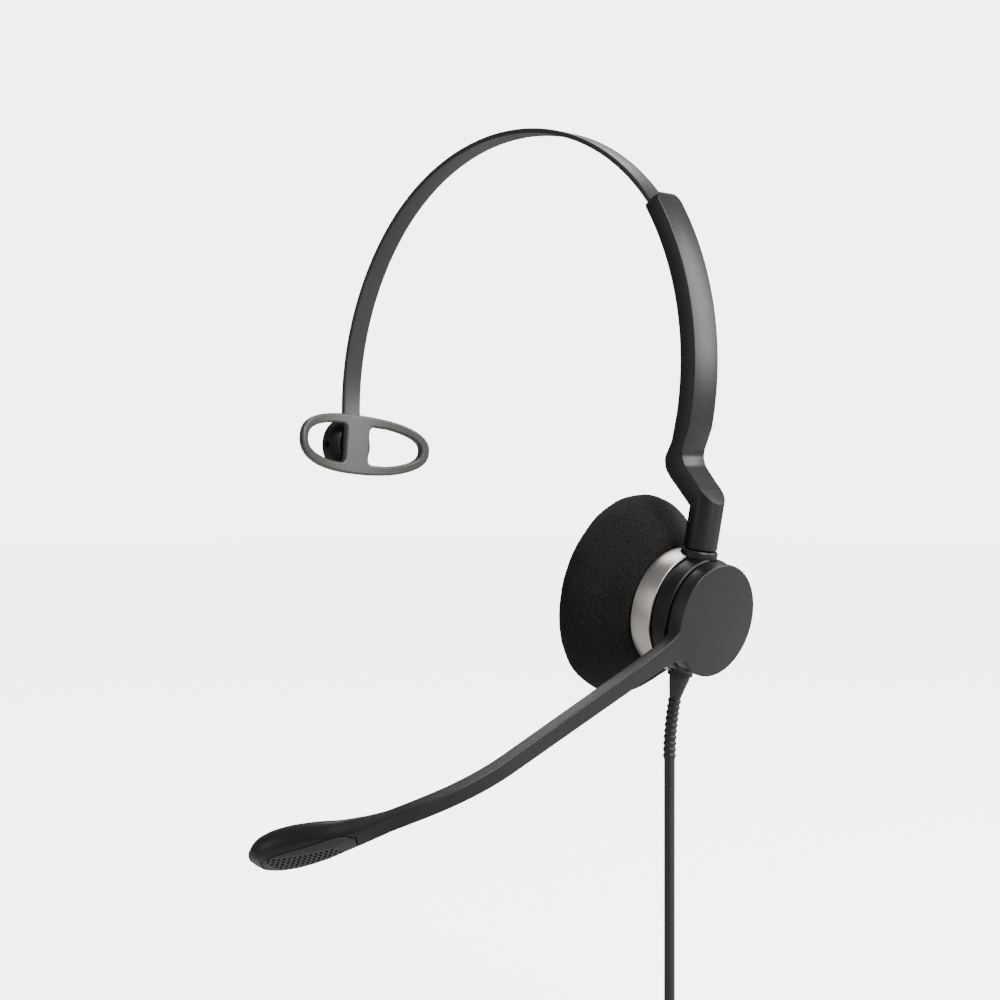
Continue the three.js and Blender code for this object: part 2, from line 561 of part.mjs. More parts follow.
function boom(cup) {
  const group = new THREE.Group();
  group.rotation.y = radians(BOOM_DROOP);
  cup.add(group);
  const oval = (inset) => (u) => (
    (POCKET_HALF_HEIGHT - inset) * Math.max(0.12, 1 - Math.abs(u) ** 3) ** 0.5);
  const straight = () => LEAD_CHANNEL / 2;
  const stations = [13, 18, 30, 45, 60, 75, 84, 92, 100, 106, 110, 113, 116, 119, 122, 124.5, 127,
    129.5, 132, 134, 136, 138, 140, 142, 144, 145.8, BOOM_LENGTH];
  const hub = turned([
    [0, 0], [HUB_RADIUS - 0.5, 0], [HUB_RADIUS - 0.15, 0.15], [HUB_RADIUS, 0.5],
    [HUB_RADIUS, HUB_DEPTH], [14, HUB_DEPTH],
    [14, 1.6], [3.4, 1.6], [3.4, 7.2], [1.15, 7.2], [1.15, 3], [0, 3],
  ], false, 40);
  const pocket = boomPlate(POCKET_START, POCKET_END, oval(0), -6, 6);
  const channel = boomPlate(12, POCKET_START + 2, straight, -LEAD_CHANNEL / 2, LEAD_CHANNEL / 2, 20);
  add(group, 'boom_arm', cut(join(hub, boomSkin(stations)), pocket, channel), PLASTIC, 0.45);
  const lead = boomPlate(12.5, POCKET_START - 1, () => 0.4, -0.4, 0.4, 20);
  add(group, 'mic_lead', lead, 0x202020);
  const grille = (under, over) => boomPlate(POCKET_START + GAP, POCKET_END - GAP, oval(GAP), under,
    over);
  add(group, 'grille_outer', grille(2.6, 3.5), BLACK);
  add(group, 'grille_inner', grille(-3.5, -2.6), BLACK);
  const { place, normal } = boomAt(133);
  const upTo = new THREE.Quaternion().setFromUnitVectors(new THREE.Vector3(0, 1, 0), normal);
  const atMic = (geometry) => geometry.applyQuaternion(upTo).translate(...place.toArray());
  add(group, 'mic_capsule', atMic(new THREE.CylinderGeometry(2.6, 2.6, 2.6, 20)), STEEL, 0.3, 1);
  const boot = [[2.75, -1.8], [3.6, -1.8], [3.6, 1.8], [2.75, 1.8], [2.75, -1.8]];
  add(group, 'mic_boot', atMic(new THREE.LatheGeometry(
    boot.map(([r, y]) => new THREE.Vector2(r, y)), 20)), 0x262626, 0.8);
  add(group, 'wind_foam', boomPlate(126, 139, () => 3, 2.0, 2.4, 4), 0x1a1a1a, 0.95);

  // The hub turns in the housing's bore, held from inside by a screw and a friction washer.
  add(cup, 'friction_washer', turned([[3.7, 6.4], [6.4, 6.4], [6.4, 7.1], [3.7, 7.1]], true), STEEL,
    0.35, 1);
  const screw = turned([[0, 3.4], [1, 3.4], [1, 7.45], [5, 7.45], [5, 8.2], [2.6, 8.9], [0, 8.9]]);
  const slotted = block(-0.35, 0.35, -9.5, -8.2, -2, 2);
  add(cup, 'hub_screw', cut(screw, slotted, slotted.clone().rotateY(Math.PI / 2)), STEEL, 0.3, 1);
}

// ---- Cord, strain relief, coil and plug ----------------------------------------------------

// Where the ribbed tail has got to at a distance from the gland: it leaves along the post's lean
// and bends until it hangs.
function reliefAt(cup, distance) {
  const start = new THREE.Vector3(0, -POST_DEPTH, -17.9).applyMatrix4(cup.matrix);
  const drift = distance < 0
    ? distance * Math.tan(radians(CUP_LEAN))
    : 0.31 * (distance - distance ** 2 / (2 * RELIEF_LENGTH));
  return start.add(new THREE.Vector3(-drift, 0, -distance * 0.983));
}

function strainRelief(cup) {
  const gland = upright([
    [2.95, -17.6], [GLAND_RADIUS, -17.6], [GLAND_RADIUS, -12.8], [2.95, -12.8],
  ], true);
  add(cup, 'cord_gland', gland, 0x3a3936, 0.5);

  // Radius of the relief at distances past the gland: a plug in the gland, a cone, then ribs.
  const radii = [[-4.5, 2.7], [-0.6, 2.7], [0, 2.95], [5.6, 1.85]];
  const pitch = 1.7;
  for (let at = 6; at < RELIEF_LENGTH - 1; at += pitch) radii.push([at, 1.55], [at + 0.9, 1.85]);
  radii.push([RELIEF_LENGTH, 1.6]);
  const rings = radii.map(([at, radius]) => {
    const middle = reliefAt(cup, at);
    const down = reliefAt(cup, at + 0.1).sub(middle).normalize();
    const side = new THREE.Vector3(0, 1, 0);
    const across = new THREE.Vector3().crossVectors(down, side);
    return Array.from({ length: 12 }, (_, i) => middle.clone()
      .addScaledVector(side, radius * Math.cos(i * Math.PI / 6))
      .addScaledVector(across, radius * Math.sin(i * Math.PI / 6)));
  });
  add(headset, 'strain_relief', loft(rings), 0x161615, 0.7);
  const tail = upright([[0, -13.1], [1.4, -13.1], [1.4, -8], [0, -8]]);
  add(cup, 'cord_tail', tail, 0x161615, 0.7);
  const clamp = upright([[1.6, -11.6], [2.5, -11.6], [2.5, -9.8], [1.6, -9.8]], true);
  add(cup, 'cord_clamp', clamp, 0xd8d8d4, 0.6);
}

function tube(points) {
  const curve = new THREE.CatmullRomCurve3(points.map((p) => new THREE.Vector3(...p)));
  const section = new THREE.Shape(Array.from({ length: 8 }, (_, i) => new THREE.Vector2(
    CORD_DIAMETER / 2 * Math.cos(i * Math.PI / 4), CORD_DIAMETER / 2 * Math.sin(i * Math.PI / 4))));
  const steps = Math.max(2, Math.round(curve.getLength() / (2.5 * CORD_DIAMETER)));
  return new THREE.ExtrudeGeometry(section, { extrudePath: curve, steps, bevelEnabled: false });
}

function cord() {
  // Out of the strain relief and straight down under its own weight to the top of the coil.
  const drop = Array.from({ length: 13 }, (_, i) => (
    [CORD_X, 0, THREE.MathUtils.lerp(-179.9, COIL_TOP + GAP, i / 12)]));
  add(headset, 'cord_drop', tube(drop), 0x161615, 0.7);
  const [inner, outer, round] = [COIL_RADIUS - COIL_WIDTH / 2, COIL_RADIUS + COIL_WIDTH / 2, 1.2];
  const ring = [
    [inner + round, COIL_BOTTOM], [outer - round, COIL_BOTTOM], [outer, COIL_BOTTOM + round],
    [outer, COIL_TOP - round], [outer - round, COIL_TOP], [inner + round, COIL_TOP],
    [inner, COIL_TOP - round], [inner, COIL_BOTTOM + round], [inner + round, COIL_BOTTOM],
  ];
  const coil = new THREE.LatheGeometry(ring.map(([r, z]) => new THREE.Vector2(r, z)), 36)
    .rotateX(Math.PI / 2).translate(COIL_X, 0, 0);
  add(headset, 'cord_coil', coil, 0x161615, 0.7);

  // The tie goes round the bundle of turns, on the side away from the hanging cord.
  const tieAt = COIL_X - COIL_RADIUS;
  const [wide, low, high] = [COIL_WIDTH / 2 + 1.1, FLOOR, COIL_TOP + 0.7];
  const tie = block(tieAt - wide, tieAt + wide, -3, 3, low, high);
  const inside = block(tieAt - wide + 0.5, tieAt + wide - 0.5, -4, 4, low + 0.45, high - 0.45);
  add(headset, 'coil_tie', cut(tie, inside), 0x2a2a2c, 0.9);
  add(headset, 'cord_lead', tube([
    [32, PLUG_Y, COIL_BOTTOM + 1.6], [30, PLUG_Y, COIL_BOTTOM + 1.9],
    [27.7, PLUG_Y, COIL_BOTTOM + 2.8], [25.3, PLUG_Y, FLOOR + PLUG_HEIGHT / 2],
    [24, PLUG_Y, FLOOR + PLUG_HEIGHT / 2],
  ]), 0x161615, 0.7);
}

function plug() {
  const group = new THREE.Group();
  group.position.set(PLUG_BACK, PLUG_Y, FLOOR + PLUG_HEIGHT / 2);
  headset.add(group);
  const relief = [[0, 8], [1.8, 8], [3.2, 0.3], [3.2, -1.2], [2.6, -1.4], [2.6, -3], [0, -3]];
  add(group, 'plug_relief', new THREE.LatheGeometry(
    relief.map(([r, x]) => new THREE.Vector2(r, x)), 16).rotateZ(-Math.PI / 2), 0x161615, 0.7);
  const [half, tall, wall] = [PLUG_WIDTH / 2, PLUG_HEIGHT / 2, 1.3];
  const shellOf = (low, high) => {
    const body = block(-PLUG_LENGTH, 0, -half, half, low, high);
    const room = block(-PLUG_LENGTH - 1, -wall, -half + wall, half - wall, -tall + wall, tall - wall);
    const neck = new THREE.CylinderGeometry(2.8, 2.8, 8, 16).rotateZ(Math.PI / 2);
    const seat = new THREE.CylinderGeometry(3.4, 3.4, 2.9, 16).rotateZ(Math.PI / 2);
    return cut(body, room, neck, seat);
  };
  add(group, 'plug_shell_lower', shellOf(-tall, -0.1), BLACK, 0.5);
  add(group, 'plug_shell_upper', shellOf(0.1, tall), BLACK, 0.5);
  const tongue = block(-PLUG_LENGTH + 2, -8, -3.6, 3.6, -1.2, 1.2);
  const blades = [-2.4, -0.8, 0.8, 2.4].map((y) => block(-PLUG_LENGTH + 1.5, -9, y - 0.5, y + 0.5, 0.7,
    2));
  add(group, 'plug_tongue', cut(tongue, ...blades), BLACK, 0.5);
  [-2.4, -0.8, 0.8, 2.4].forEach((y, i) => {
    const blade = block(-PLUG_LENGTH + 2.5, -10, y - 0.35, y + 0.35, 0.9, 1.5);
    add(group, `plug_contact_${i + 1}`, blade, BRASS, 0.3, 1);
  });
}

const cup = cupGroup();
headband();
tbar();
sliderArm(cup);
housings(cup);
speaker(cup);
cushion(cup);
boom(cup);
strainRelief(cup);
cord();
plug();

export default headset;
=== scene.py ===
"""An office headset with one ear cup: metres, +Z up, the wearer faces -Y."""

import bmesh
import bpy
import json
import math
import numpy as np
from mathutils import Matrix, Vector, noise


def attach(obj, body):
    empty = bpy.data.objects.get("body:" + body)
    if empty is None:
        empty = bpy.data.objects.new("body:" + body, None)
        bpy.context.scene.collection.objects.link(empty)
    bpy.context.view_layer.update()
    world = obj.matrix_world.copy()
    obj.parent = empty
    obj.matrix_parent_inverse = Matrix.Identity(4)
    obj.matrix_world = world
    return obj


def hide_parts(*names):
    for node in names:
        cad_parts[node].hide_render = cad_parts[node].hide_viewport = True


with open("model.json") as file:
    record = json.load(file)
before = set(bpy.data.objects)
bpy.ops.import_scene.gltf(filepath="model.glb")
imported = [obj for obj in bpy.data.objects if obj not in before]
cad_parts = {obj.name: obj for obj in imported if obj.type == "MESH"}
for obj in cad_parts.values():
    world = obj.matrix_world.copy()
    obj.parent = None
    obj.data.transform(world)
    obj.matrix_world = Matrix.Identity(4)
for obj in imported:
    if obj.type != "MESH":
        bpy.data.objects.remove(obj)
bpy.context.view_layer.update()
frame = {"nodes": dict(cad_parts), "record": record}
nodes = frame["nodes"]
joints = {joint["name"]: joint for joint in frame["record"]["behaviour"]["joints"]}

# ---- Camera ----
# The view is level and from the front right, with the ear cup on the near side.
MM = 0.001
VIEW_TURN = math.radians(45)
target = Vector((-0.006, 0, -0.1083))
toward_viewer = Vector((math.sin(VIEW_TURN), -math.cos(VIEW_TURN), 0))


def placed(name, data):
    """An object that holds some data, put into the scene."""
    made = bpy.data.objects.new(name, data)
    bpy.context.collection.objects.link(made)
    return made


lens = bpy.data.cameras.new("camera")
lens.lens, lens.sensor_width = 65.8, 36
camera = placed("camera", lens)
camera.location = target + 0.55 * toward_viewer
camera.rotation_euler = (math.radians(90), 0, VIEW_TURN)
bpy.context.scene.camera = camera

# ---- Cord ----
# A round 3 mm lead with a smooth black jacket. It hangs straight down from the ribbed tail of the
# ear cup, and its whole spare length is wound into a flat coil, with the plug lying beside it.
CORD_WIDTH = 3.0
DROP_TOP, DROP_END, DROP_X = -179.3, -252.1, 60
LANDING, LAST_QUARTER = 28, 90.1  # degrees into the first turn and past the last whole one
STEP_OVER = 80  # degrees in which one turn passes over into the next
coil_middle = Vector((43.5, 0))
coil_radii = (13.45, 16.5, 19.55)
coil_layers = (-261.15, -264.2, -267.25)  # top, middle, bottom
coil_turns = ((1, 0), (2, 0), (2, 1), (1, 1), (0, 1), (0, 2), (1, 2), (2, 2))  # radius, layer


def coil_point(turned):
    """A point of the coil after some degrees of turning, clockwise seen from above."""
    lap = min(int(turned // 360), len(coil_turns) - 1)
    radius, height = coil_radii[coil_turns[lap][0]], coil_layers[coil_turns[lap][1]]
    if lap + 1 < len(coil_turns):
        share = max(0.0, (turned - 360 * lap - (360 - STEP_OVER)) / STEP_OVER)
        share = share * share * (3 - 2 * share)
        radius += share * (coil_radii[coil_turns[lap + 1][0]] - radius)
        height += share * (coil_layers[coil_turns[lap + 1][1]] - height)
    turn = math.radians(-turned)
    return (coil_middle.x + radius * math.cos(turn), coil_middle.y + radius * math.sin(turn),
            height)


route = [(DROP_X, 0, z) for z in np.linspace(DROP_TOP, DROP_END, 26)]
touch = Vector(coil_point(LANDING))
for i in range(1, 10):
    turn, share = math.radians(i * 10), i / 10
    route.append((DROP_X + (touch.x - DROP_X) * share ** 2, touch.y * (1 - math.cos(turn)),
                  DROP_END + (touch.z - DROP_END) * math.sin(turn)))
coil_end = (len(coil_turns) - 1) * 360 + LAST_QUARTER
route += [coil_point(turned) for turned in np.arange(LANDING, coil_end, 12)]
route += [(41.5, -19.55, -267.2), (37, -19.5, -267.1), (32, -19.5, -266.7), (28, -19.5, -265.8),
          (25.5, -19.5, -265.2), (24, -19.5, -265.0)]
route = [Vector(point) * MM for point in route]


def link(tree, source, end):
    tree.links.new(source, end)


def effect(name, inputs, outputs):
    """An empty shader group with named inputs and outputs, and its two end nodes."""
    tree = bpy.data.node_groups.new(name, "ShaderNodeTree")
    for label, kind, value in inputs:
        socket = tree.interface.new_socket(label, in_out="INPUT", socket_type=kind)
        if value is not None:
            socket.default_value = value
    for label, kind in outputs:
        tree.interface.new_socket(label, in_out="OUTPUT", socket_type=kind)
    return tree, tree.nodes.new("NodeGroupInput"), tree.nodes.new("NodeGroupOutput")


def node(tree, kind, **values):
    made = tree.nodes.new("ShaderNode" + kind)
    for key, value in values.items():
        if key in made.bl_rna.properties:
            setattr(made, key, value)
        else:
            made.inputs[key].default_value = value
    return made


def maths(tree, operation, *values):
    """A maths node fed with numbers or other nodes' outputs; returns its output."""
    made = tree.nodes.new("ShaderNodeMath")
    made.operation = operation
    for socket, value in zip(made.inputs, values):
        if isinstance(value, (int, float)):
            socket.default_value = value
        else:
            link(tree, value, socket)
    return made.outputs[0]


# Fine spark-eroded grain, with faint cloudy changes of tone and gloss.
grain, grain_in, grain_out = effect(
    "moulded_grain",
    [("Grain Scale", "NodeSocketFloat", 2600.0), ("Cloud Scale", "NodeSocketFloat", 60.0),
     ("Dark", "NodeSocketColor", None), ("Light", "NodeSocketColor", None),
     ("Gloss", "NodeSocketFloat", 0.4), ("Gloss Change", "NodeSocketFloat", 0.06)],
    [("Color", "NodeSocketColor"), ("Roughness", "NodeSocketFloat"), ("Height", "NodeSocketFloat")])
place = node(grain, "TexCoord")
fine = node(grain, "TexNoise", Detail=3.0, Roughness=0.6)
clouds = node(grain, "TexNoise", Detail=4.0, Roughness=0.55)
link(grain, place.outputs["Object"], fine.inputs["Vector"])
link(grain, place.outputs["Object"], clouds.inputs["Vector"])
link(grain, grain_in.outputs["Grain Scale"], fine.inputs["Scale"])
link(grain, grain_in.outputs["Cloud Scale"], clouds.inputs["Scale"])
tone = maths(grain, "MULTIPLY_ADD", fine.outputs["Fac"], 0.45,
             maths(grain, "MULTIPLY", clouds.outputs["Fac"], 0.55))
spread = node(grain, "MapRange")
spread.inputs["From Min"].default_value = 0.36
spread.inputs["From Max"].default_value = 0.64
link(grain, tone, spread.inputs["Value"])
mix = node(grain, "Mix", data_type="RGBA")
link(grain, spread.outputs["Result"], mix.inputs["Factor"])
mix_colours = [socket for socket in mix.inputs if socket.type == "RGBA"]
link(grain, grain_in.outputs["Dark"], mix_colours[0])
link(grain, grain_in.outputs["Light"], mix_colours[1])
link(grain, [s for s in mix.outputs if s.type == "RGBA"][0], grain_out.inputs["Color"])
gloss = maths(grain, "MULTIPLY_ADD", maths(grain, "SUBTRACT", clouds.outputs["Fac"], 0.5),
              grain_in.outputs["Gloss Change"], grain_in.outputs["Gloss"])
link(grain, gloss, grain_out.inputs["Roughness"])
link(grain, fine.outputs["Fac"], grain_out.inputs["Height"])


def bare_finish(name):
    """A new material, with its tree and its Principled shader."""
    made = bpy.data.materials.new(name)
    made.use_nodes = True
    return made, made.node_tree, made.node_tree.nodes["Principled BSDF"]


def finish_of(name, dark, light, gloss, bump=0.05, metal=0.0, grain_scale=2600.0, cloud_scale=60.0,
              gloss_change=0.12, specular=0.5):
    """A material whose tone, gloss and relief come from the moulded grain."""
    made, tree, shader = bare_finish(name)
    group = tree.nodes.new("ShaderNodeGroup")
    group.node_tree = grain
    group.inputs["Dark"].default_value = (*dark, 1)
    group.inputs["Light"].default_value = (*light, 1)
    group.inputs["Gloss"].default_value = gloss
    group.inputs["Gloss Change"].default_value = gloss_change
    group.inputs["Grain Scale"].default_value = grain_scale
    group.inputs["Cloud Scale"].default_value = cloud_scale
    relief = node(tree, "Bump", Strength=bump, Distance=0.0002)
    link(tree, group.outputs["Color"], shader.inputs["Base Color"])
    link(tree, group.outputs["Roughness"], shader.inputs["Roughness"])
    link(tree, group.outputs["Height"], relief.inputs["Height"])
    link(tree, relief.outputs["Normal"], shader.inputs["Normal"])
    shader.inputs["Metallic"].default_value = metal
    shader.inputs["Specular IOR Level"].default_value = specular
    return made


def geometry_tree(name, inputs):
    """An empty Geometry Nodes tree with named inputs; returns it with its input node."""
    tree = bpy.data.node_groups.new(name, "GeometryNodeTree")
    tree.interface.new_socket("Geometry", in_out="INPUT", socket_type="NodeSocketGeometry")
    for label, kind, value in inputs:
        tree.interface.new_socket(label, in_out="INPUT", socket_type=kind).default_value = value
    tree.interface.new_socket("Geometry", in_out="OUTPUT", socket_type="NodeSocketGeometry")
    return tree, tree.nodes.new("NodeGroupInput")


def gnode(tree, kind, **values):
    made = tree.nodes.new("GeometryNode" + kind)
    for key, value in values.items():
        setattr(made, key, value)
    return made


def close_tree(tree, source, surface):
    """Ends a tree in Realize Instances and Set Material."""
    real, paint = gnode(tree, "RealizeInstances"), gnode(tree, "SetMaterial")
    paint.inputs["Material"].default_value = surface
    end = tree.nodes.new("NodeGroupOutput")
    link(tree, source, real.inputs[0])
    link(tree, real.outputs[0], paint.inputs["Geometry"])
    link(tree, paint.outputs[0], end.inputs[0])


def result_of(start):
    """The plain mesh an object comes to; the object itself is taken away."""
    seen = start.evaluated_get(bpy.context.evaluated_depsgraph_get())
    mesh = bpy.data.meshes.new_from_object(seen)
    bpy.data.objects.remove(start)
    return mesh


def grown(name, base, tree, values):
    """Runs a tree on a curve or a mesh with the given inputs, and keeps a plain mesh."""
    start = placed(name + "_start", base)
    change = start.modifiers.new("grow", "NODES")
    change.node_group = tree
    keys = {item.name: item.identifier for item in tree.interface.items_tree
            if item.in_out == "INPUT"}
    for label, value in values.items():
        change[keys[label]] = value
    mesh = result_of(start)
    mesh.name = name
    return mesh


def line_of(name, points):
    """An open poly curve through points in metres."""
    made = bpy.data.curves.new(name, "CURVE")
    made.dimensions = "3D"
    run = made.splines.new("POLY")
    run.points.add(len(points) - 1)
    for point, at in zip(run.points, points):
        point.co = (*at, 1)
    return made


def tidy(mesh, angle=35.0):
    """Merges doubles, turns the faces outwards, and shades smooth up to an edge angle."""
    weld = 2e-6
    work = bmesh.new()
    work.from_mesh(mesh)
    bmesh.ops.remove_doubles(work, verts=work.verts, dist=weld)
    bmesh.ops.dissolve_degenerate(work, edges=work.edges, dist=weld / 2)
    bmesh.ops.recalc_face_normals(work, faces=work.faces)
    for face in work.faces:
        face.smooth = True
    for edge in work.edges:
        edge.smooth = len(edge.link_faces) == 2 and edge.calc_face_angle(0) < math.radians(angle)
    work.to_mesh(mesh)
    work.free()
    return mesh


def piece(name, mesh, body, replaces=(), surface=None):
    """Puts a finished mesh on a body in place of its CAD nodes."""
    if surface:
        mesh.materials.clear()
        mesh.materials.append(surface)
    made = placed(name, mesh)
    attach(made, body)
    if replaces:
        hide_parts(*replaces)
    return made


jacket = finish_of("cord_jacket_black", (0.005, 0.005, 0.005), (0.008, 0.0078, 0.0075), 0.48, 0.08,
                   0.0, 1800.0)
round_tree, round_in = geometry_tree("round_along_a_line", [("Radius", "NodeSocketFloat", 0.0015)])
circle = gnode(round_tree, "CurvePrimitiveCircle", mode="RADIUS")
circle.inputs["Resolution"].default_value = 20
link(round_tree, round_in.outputs["Radius"], circle.inputs["Radius"])
sweep = gnode(round_tree, "CurveToMesh")
sweep.inputs["Fill Caps"].default_value = True
link(round_tree, round_in.outputs["Geometry"], sweep.inputs["Curve"])
link(round_tree, circle.outputs[0], sweep.inputs["Profile Curve"])
close_tree(round_tree, sweep.outputs[0], jacket)
cord_mesh = grown("lead_cord", line_of("cord_path", route), round_tree,
                  {"Radius": CORD_WIDTH / 2 * MM})
cord = piece("lead_cord", tidy(cord_mesh, 60), "ear_cup", ["cord_drop", "cord_coil", "cord_lead"])

# ---- Floor and lights ----
# A plain white table under soft studio light: a tall softbox on the ear-cup side, a smaller one
# nearer the viewer, a broad one overhead and a weak fill from the left.
FLOOR, FLOOR_HALF = -0.2695, 6
floor_mesh = bpy.data.meshes.new("floor")
floor_mesh.from_pydata([(x * FLOOR_HALF, y * FLOOR_HALF, FLOOR)
                        for x, y in ((-1, -1), (1, -1), (1, 1), (-1, 1))], [], [(0, 1, 2, 3)])
floor = placed("floor", floor_mesh)


def glow_seen(tree, seen_strength, light_strength, socket):
    """Makes a glow that looks brighter to the camera than the light it casts."""
    rays = tree.nodes.new("ShaderNodeLightPath")
    link(tree, maths(tree, "MULTIPLY_ADD", rays.outputs["Is Camera Ray"], seen_strength,
                     light_strength), socket)


paper, paper_tree, paper_shader = bare_finish("white_paper")
paper_shader.inputs["Base Color"].default_value = (0.5, 0.5, 0.5, 1)
paper_shader.inputs["Roughness"].default_value = 0.9
paper_shader.inputs["Emission Color"].default_value = (1, 1, 1, 1)
glow_seen(paper_tree, 4.8, 0.0, paper_shader.inputs["Emission Strength"])
floor_mesh.materials.append(paper)

world = bpy.data.worlds.new("studio")
world.use_nodes = True
backdrop = world.node_tree.nodes["Background"]
backdrop.inputs["Color"].default_value = (1, 1, 1, 1)
glow_seen(world.node_tree, 5.0, 0.30, backdrop.inputs["Strength"])
bpy.context.scene.world = world

right = Vector((math.sin(VIEW_TURN), math.sin(VIEW_TURN), 0))
for name, aside, ahead, above, wide, tall, watts in (
        ("side_softbox", 0.85, 0.0, 0.33, 0.45, 0.6, 9.0),
        ("near_softbox", 0.62, 0.72, 0.22, 0.3, 0.7, 4.0),
        ("top_softbox", 0.1, -0.5, 0.8, 0.6, 0.5, 5.0),
        ("edge_softbox", 0.36, 0.42, 0.62, 0.35, 0.25, 8.0),
        ("left_fill", -0.9, 0.5, 0.25, 0.5, 0.7, 1.5)):
    lamp = bpy.data.lights.new(name, "AREA")
    lamp.shape, lamp.size, lamp.size_y, lamp.energy = "RECTANGLE", wide, tall, watts
    light = placed(name, lamp)
    light.location = target + aside * right + ahead * toward_viewer + Vector((0, 0, above))
    light.rotation_euler = (target - light.location).to_track_quat("-Z", "Y").to_euler()

# ---- Headband ----
# A narrow strip of satin moulded plastic over a spring-steel core, in one sweep from the T-bar
# over the crown into the sleeve. Its edges are rounded and it is a little lighter than the arm.
SLIDE_CENTRE, SLIDE_RADIUS, BAND_START = (-11.8, -70.3), 81.25, -11.0
band_arcs = ((SLIDE_RADIUS, 24 - BAND_START), (50.9, 8.8), (67.4, 40.2), (73.1, 66.8),
             (83.2, 41.6))  # radius in millimetres and sweep in degrees
band_plastic = finish_of("satin_band_plastic", (0.0150, 0.0136, 0.0115),
                         (0.0200, 0.0182, 0.0156), 0.35, specular=0.45)


def band_line():
    """Points in x and z along the middle of the band, from inside the sleeve to the T-bar."""
    x, z = SLIDE_CENTRE
    radius, angle, line = SLIDE_RADIUS, BAND_START, []
    for next_radius, sweep in band_arcs:
        x += (radius - next_radius) * math.cos(math.radians(angle))
        z += (radius - next_radius) * math.sin(math.radians(angle))
        radius = next_radius
        count = round(sweep)
        for i in range(1 if line else 0, count + 1):
            turn = math.radians(angle + sweep * i / count)
            line.append((x + radius * math.cos(turn), z + radius * math.sin(turn)))
        angle += sweep
    return line


strip, strip_in = geometry_tree("strip_along_a_line", [
    ("Width", "NodeSocketFloat", 0.0071), ("Thickness", "NodeSocketFloat", 0.0015),
    ("Corner", "NodeSocketFloat", 0.0005)])
flat = gnode(strip, "CurvePrimitiveQuadrilateral")
rounded = gnode(strip, "FilletCurve")
rounded.mode = "POLY"
facing = gnode(strip, "SetCurveNormal", mode="FREE")
swept = gnode(strip, "CurveToMesh")
facing.inputs["Normal"].default_value = (0, 1, 0)
swept.inputs["Fill Caps"].default_value = True
rounded.inputs["Count"].default_value = 5
link(strip, strip_in.outputs["Width"], flat.inputs["Width"])
link(strip, strip_in.outputs["Thickness"], flat.inputs["Height"])
link(strip, flat.outputs[0], rounded.inputs["Curve"])
link(strip, strip_in.outputs["Corner"], rounded.inputs["Radius"])
link(strip, strip_in.outputs["Geometry"], facing.inputs["Curve"])
link(strip, facing.outputs[0], swept.inputs["Curve"])
link(strip, rounded.outputs[0], swept.inputs["Profile Curve"])
close_tree(strip, swept.outputs[0], band_plastic)
band_path = line_of("band_path", [(x * MM, 0, z * MM) for x, z in band_line()])
band_mesh = grown("head_band", band_path, strip,
                  {"Width": 7.1 * MM, "Thickness": 1.5 * MM, "Corner": 0.45 * MM})
piece("head_band", tidy(band_mesh), "headband", ["band_strip"])

# ---- T-bar ----
# A thin oval loop of the same light satin plastic, moulded in one piece with its central bar and
# curved to the side of the head. Its colour is painted lighter than the band's: painted light for
# the side softbox that falls on it. The dome behind the bar holds the band's end on a steel pin;
# its black moulding is painted shade for the shadow it sits in behind the bar.
TBAR_MIDDLE = (-71.9, 0, -90.3)
TBAR_HALF, TBAR_RIM, TBAR_THICK, TBAR_EDGE = (27.2, 9.7), 3.1, 2.4, 0.7
WINDOW_CORNER, TBAR_TILT, TBAR_CURVE = 1.8, math.radians(-4.5), 160


def oval_point(length, height, turn):
    """A point of an oval that is a little squarer than an ellipse."""
    def power(value):
        return math.copysign(abs(value) ** (2 / 2.4), value)
    return (length * power(math.cos(turn)), height * power(math.sin(turn)))


def flat_shape(name, outlines, thick, edge):
    """A flat plate with holes and rounded rims, centred on z = 0, as a mesh in millimetres."""
    made = bpy.data.curves.new(name, "CURVE")
    made.dimensions, made.fill_mode = "2D", "BOTH"
    for outline in outlines:
        run = made.splines.new("POLY")
        run.points.add(len(outline) - 1)
        for point, (x, y) in zip(run.points, outline):
            point.co = (x, y, 0, 1)
        run.use_cyclic_u = True
    made.extrude, made.bevel_depth, made.bevel_resolution = thick / 2 - edge, edge, 3
    made.offset = -edge
    return result_of(placed(name, made))


windows = []
for side, bar_side in ((1, 4.3), (-1, 5.6)):
    length, height = TBAR_HALF[0] - TBAR_RIM, TBAR_HALF[1] - TBAR_RIM
    window = [oval_point(length, height, math.radians(66) * (i / 24 - 1)) for i in range(49)]
    corner = [(bar_side + WINDOW_CORNER + WINDOW_CORNER * math.cos(math.radians(90 + 10 * i)),
               height - 2.15 + WINDOW_CORNER * math.sin(math.radians(90 + 10 * i)))
              for i in range(10)]
    window += corner + [(x, -y) for x, y in corner[::-1]]
    windows.append([(side * x, y) for x, y in window])
rim = [oval_point(*TBAR_HALF, math.tau * i / 160) for i in range(160)]
loop = flat_shape("t_bar", [rim] + windows, TBAR_THICK, TBAR_EDGE)
work = bmesh.new()
work.from_mesh(loop)
bmesh.ops.remove_doubles(work, verts=work.verts, dist=0.001)
for i in range(-26, 27):
    bmesh.ops.bisect_plane(work, geom=work.verts[:] + work.edges[:] + work.faces[:],
                           plane_co=(i + 0.5, 0, 0), plane_no=(1, 0, 0), dist=0.0005)
tilt = Matrix.Rotation(TBAR_TILT, 3, "X")
for vert in work.verts:
    at = tilt @ Vector((-vert.co.z, vert.co.x, vert.co.y))
    at.x += at.y ** 2 / TBAR_CURVE
    vert.co = (at + Vector(TBAR_MIDDLE)) * MM
bmesh.ops.recalc_face_normals(work, faces=work.faces)
work.to_mesh(loop)
work.free()
# Painted light: a lighter copy of the band plastic, standing in for the side softbox's light on the
# loop.
band_plastic_lit_copy = finish_of("satin_band_plastic_lit_copy", (0.034, 0.0310, 0.0272),
                         (0.042, 0.0384, 0.0338), 0.36)
piece("t_bar", tidy(loop, 40), "t_bar", ["t_bar_loop"], band_plastic_lit_copy)


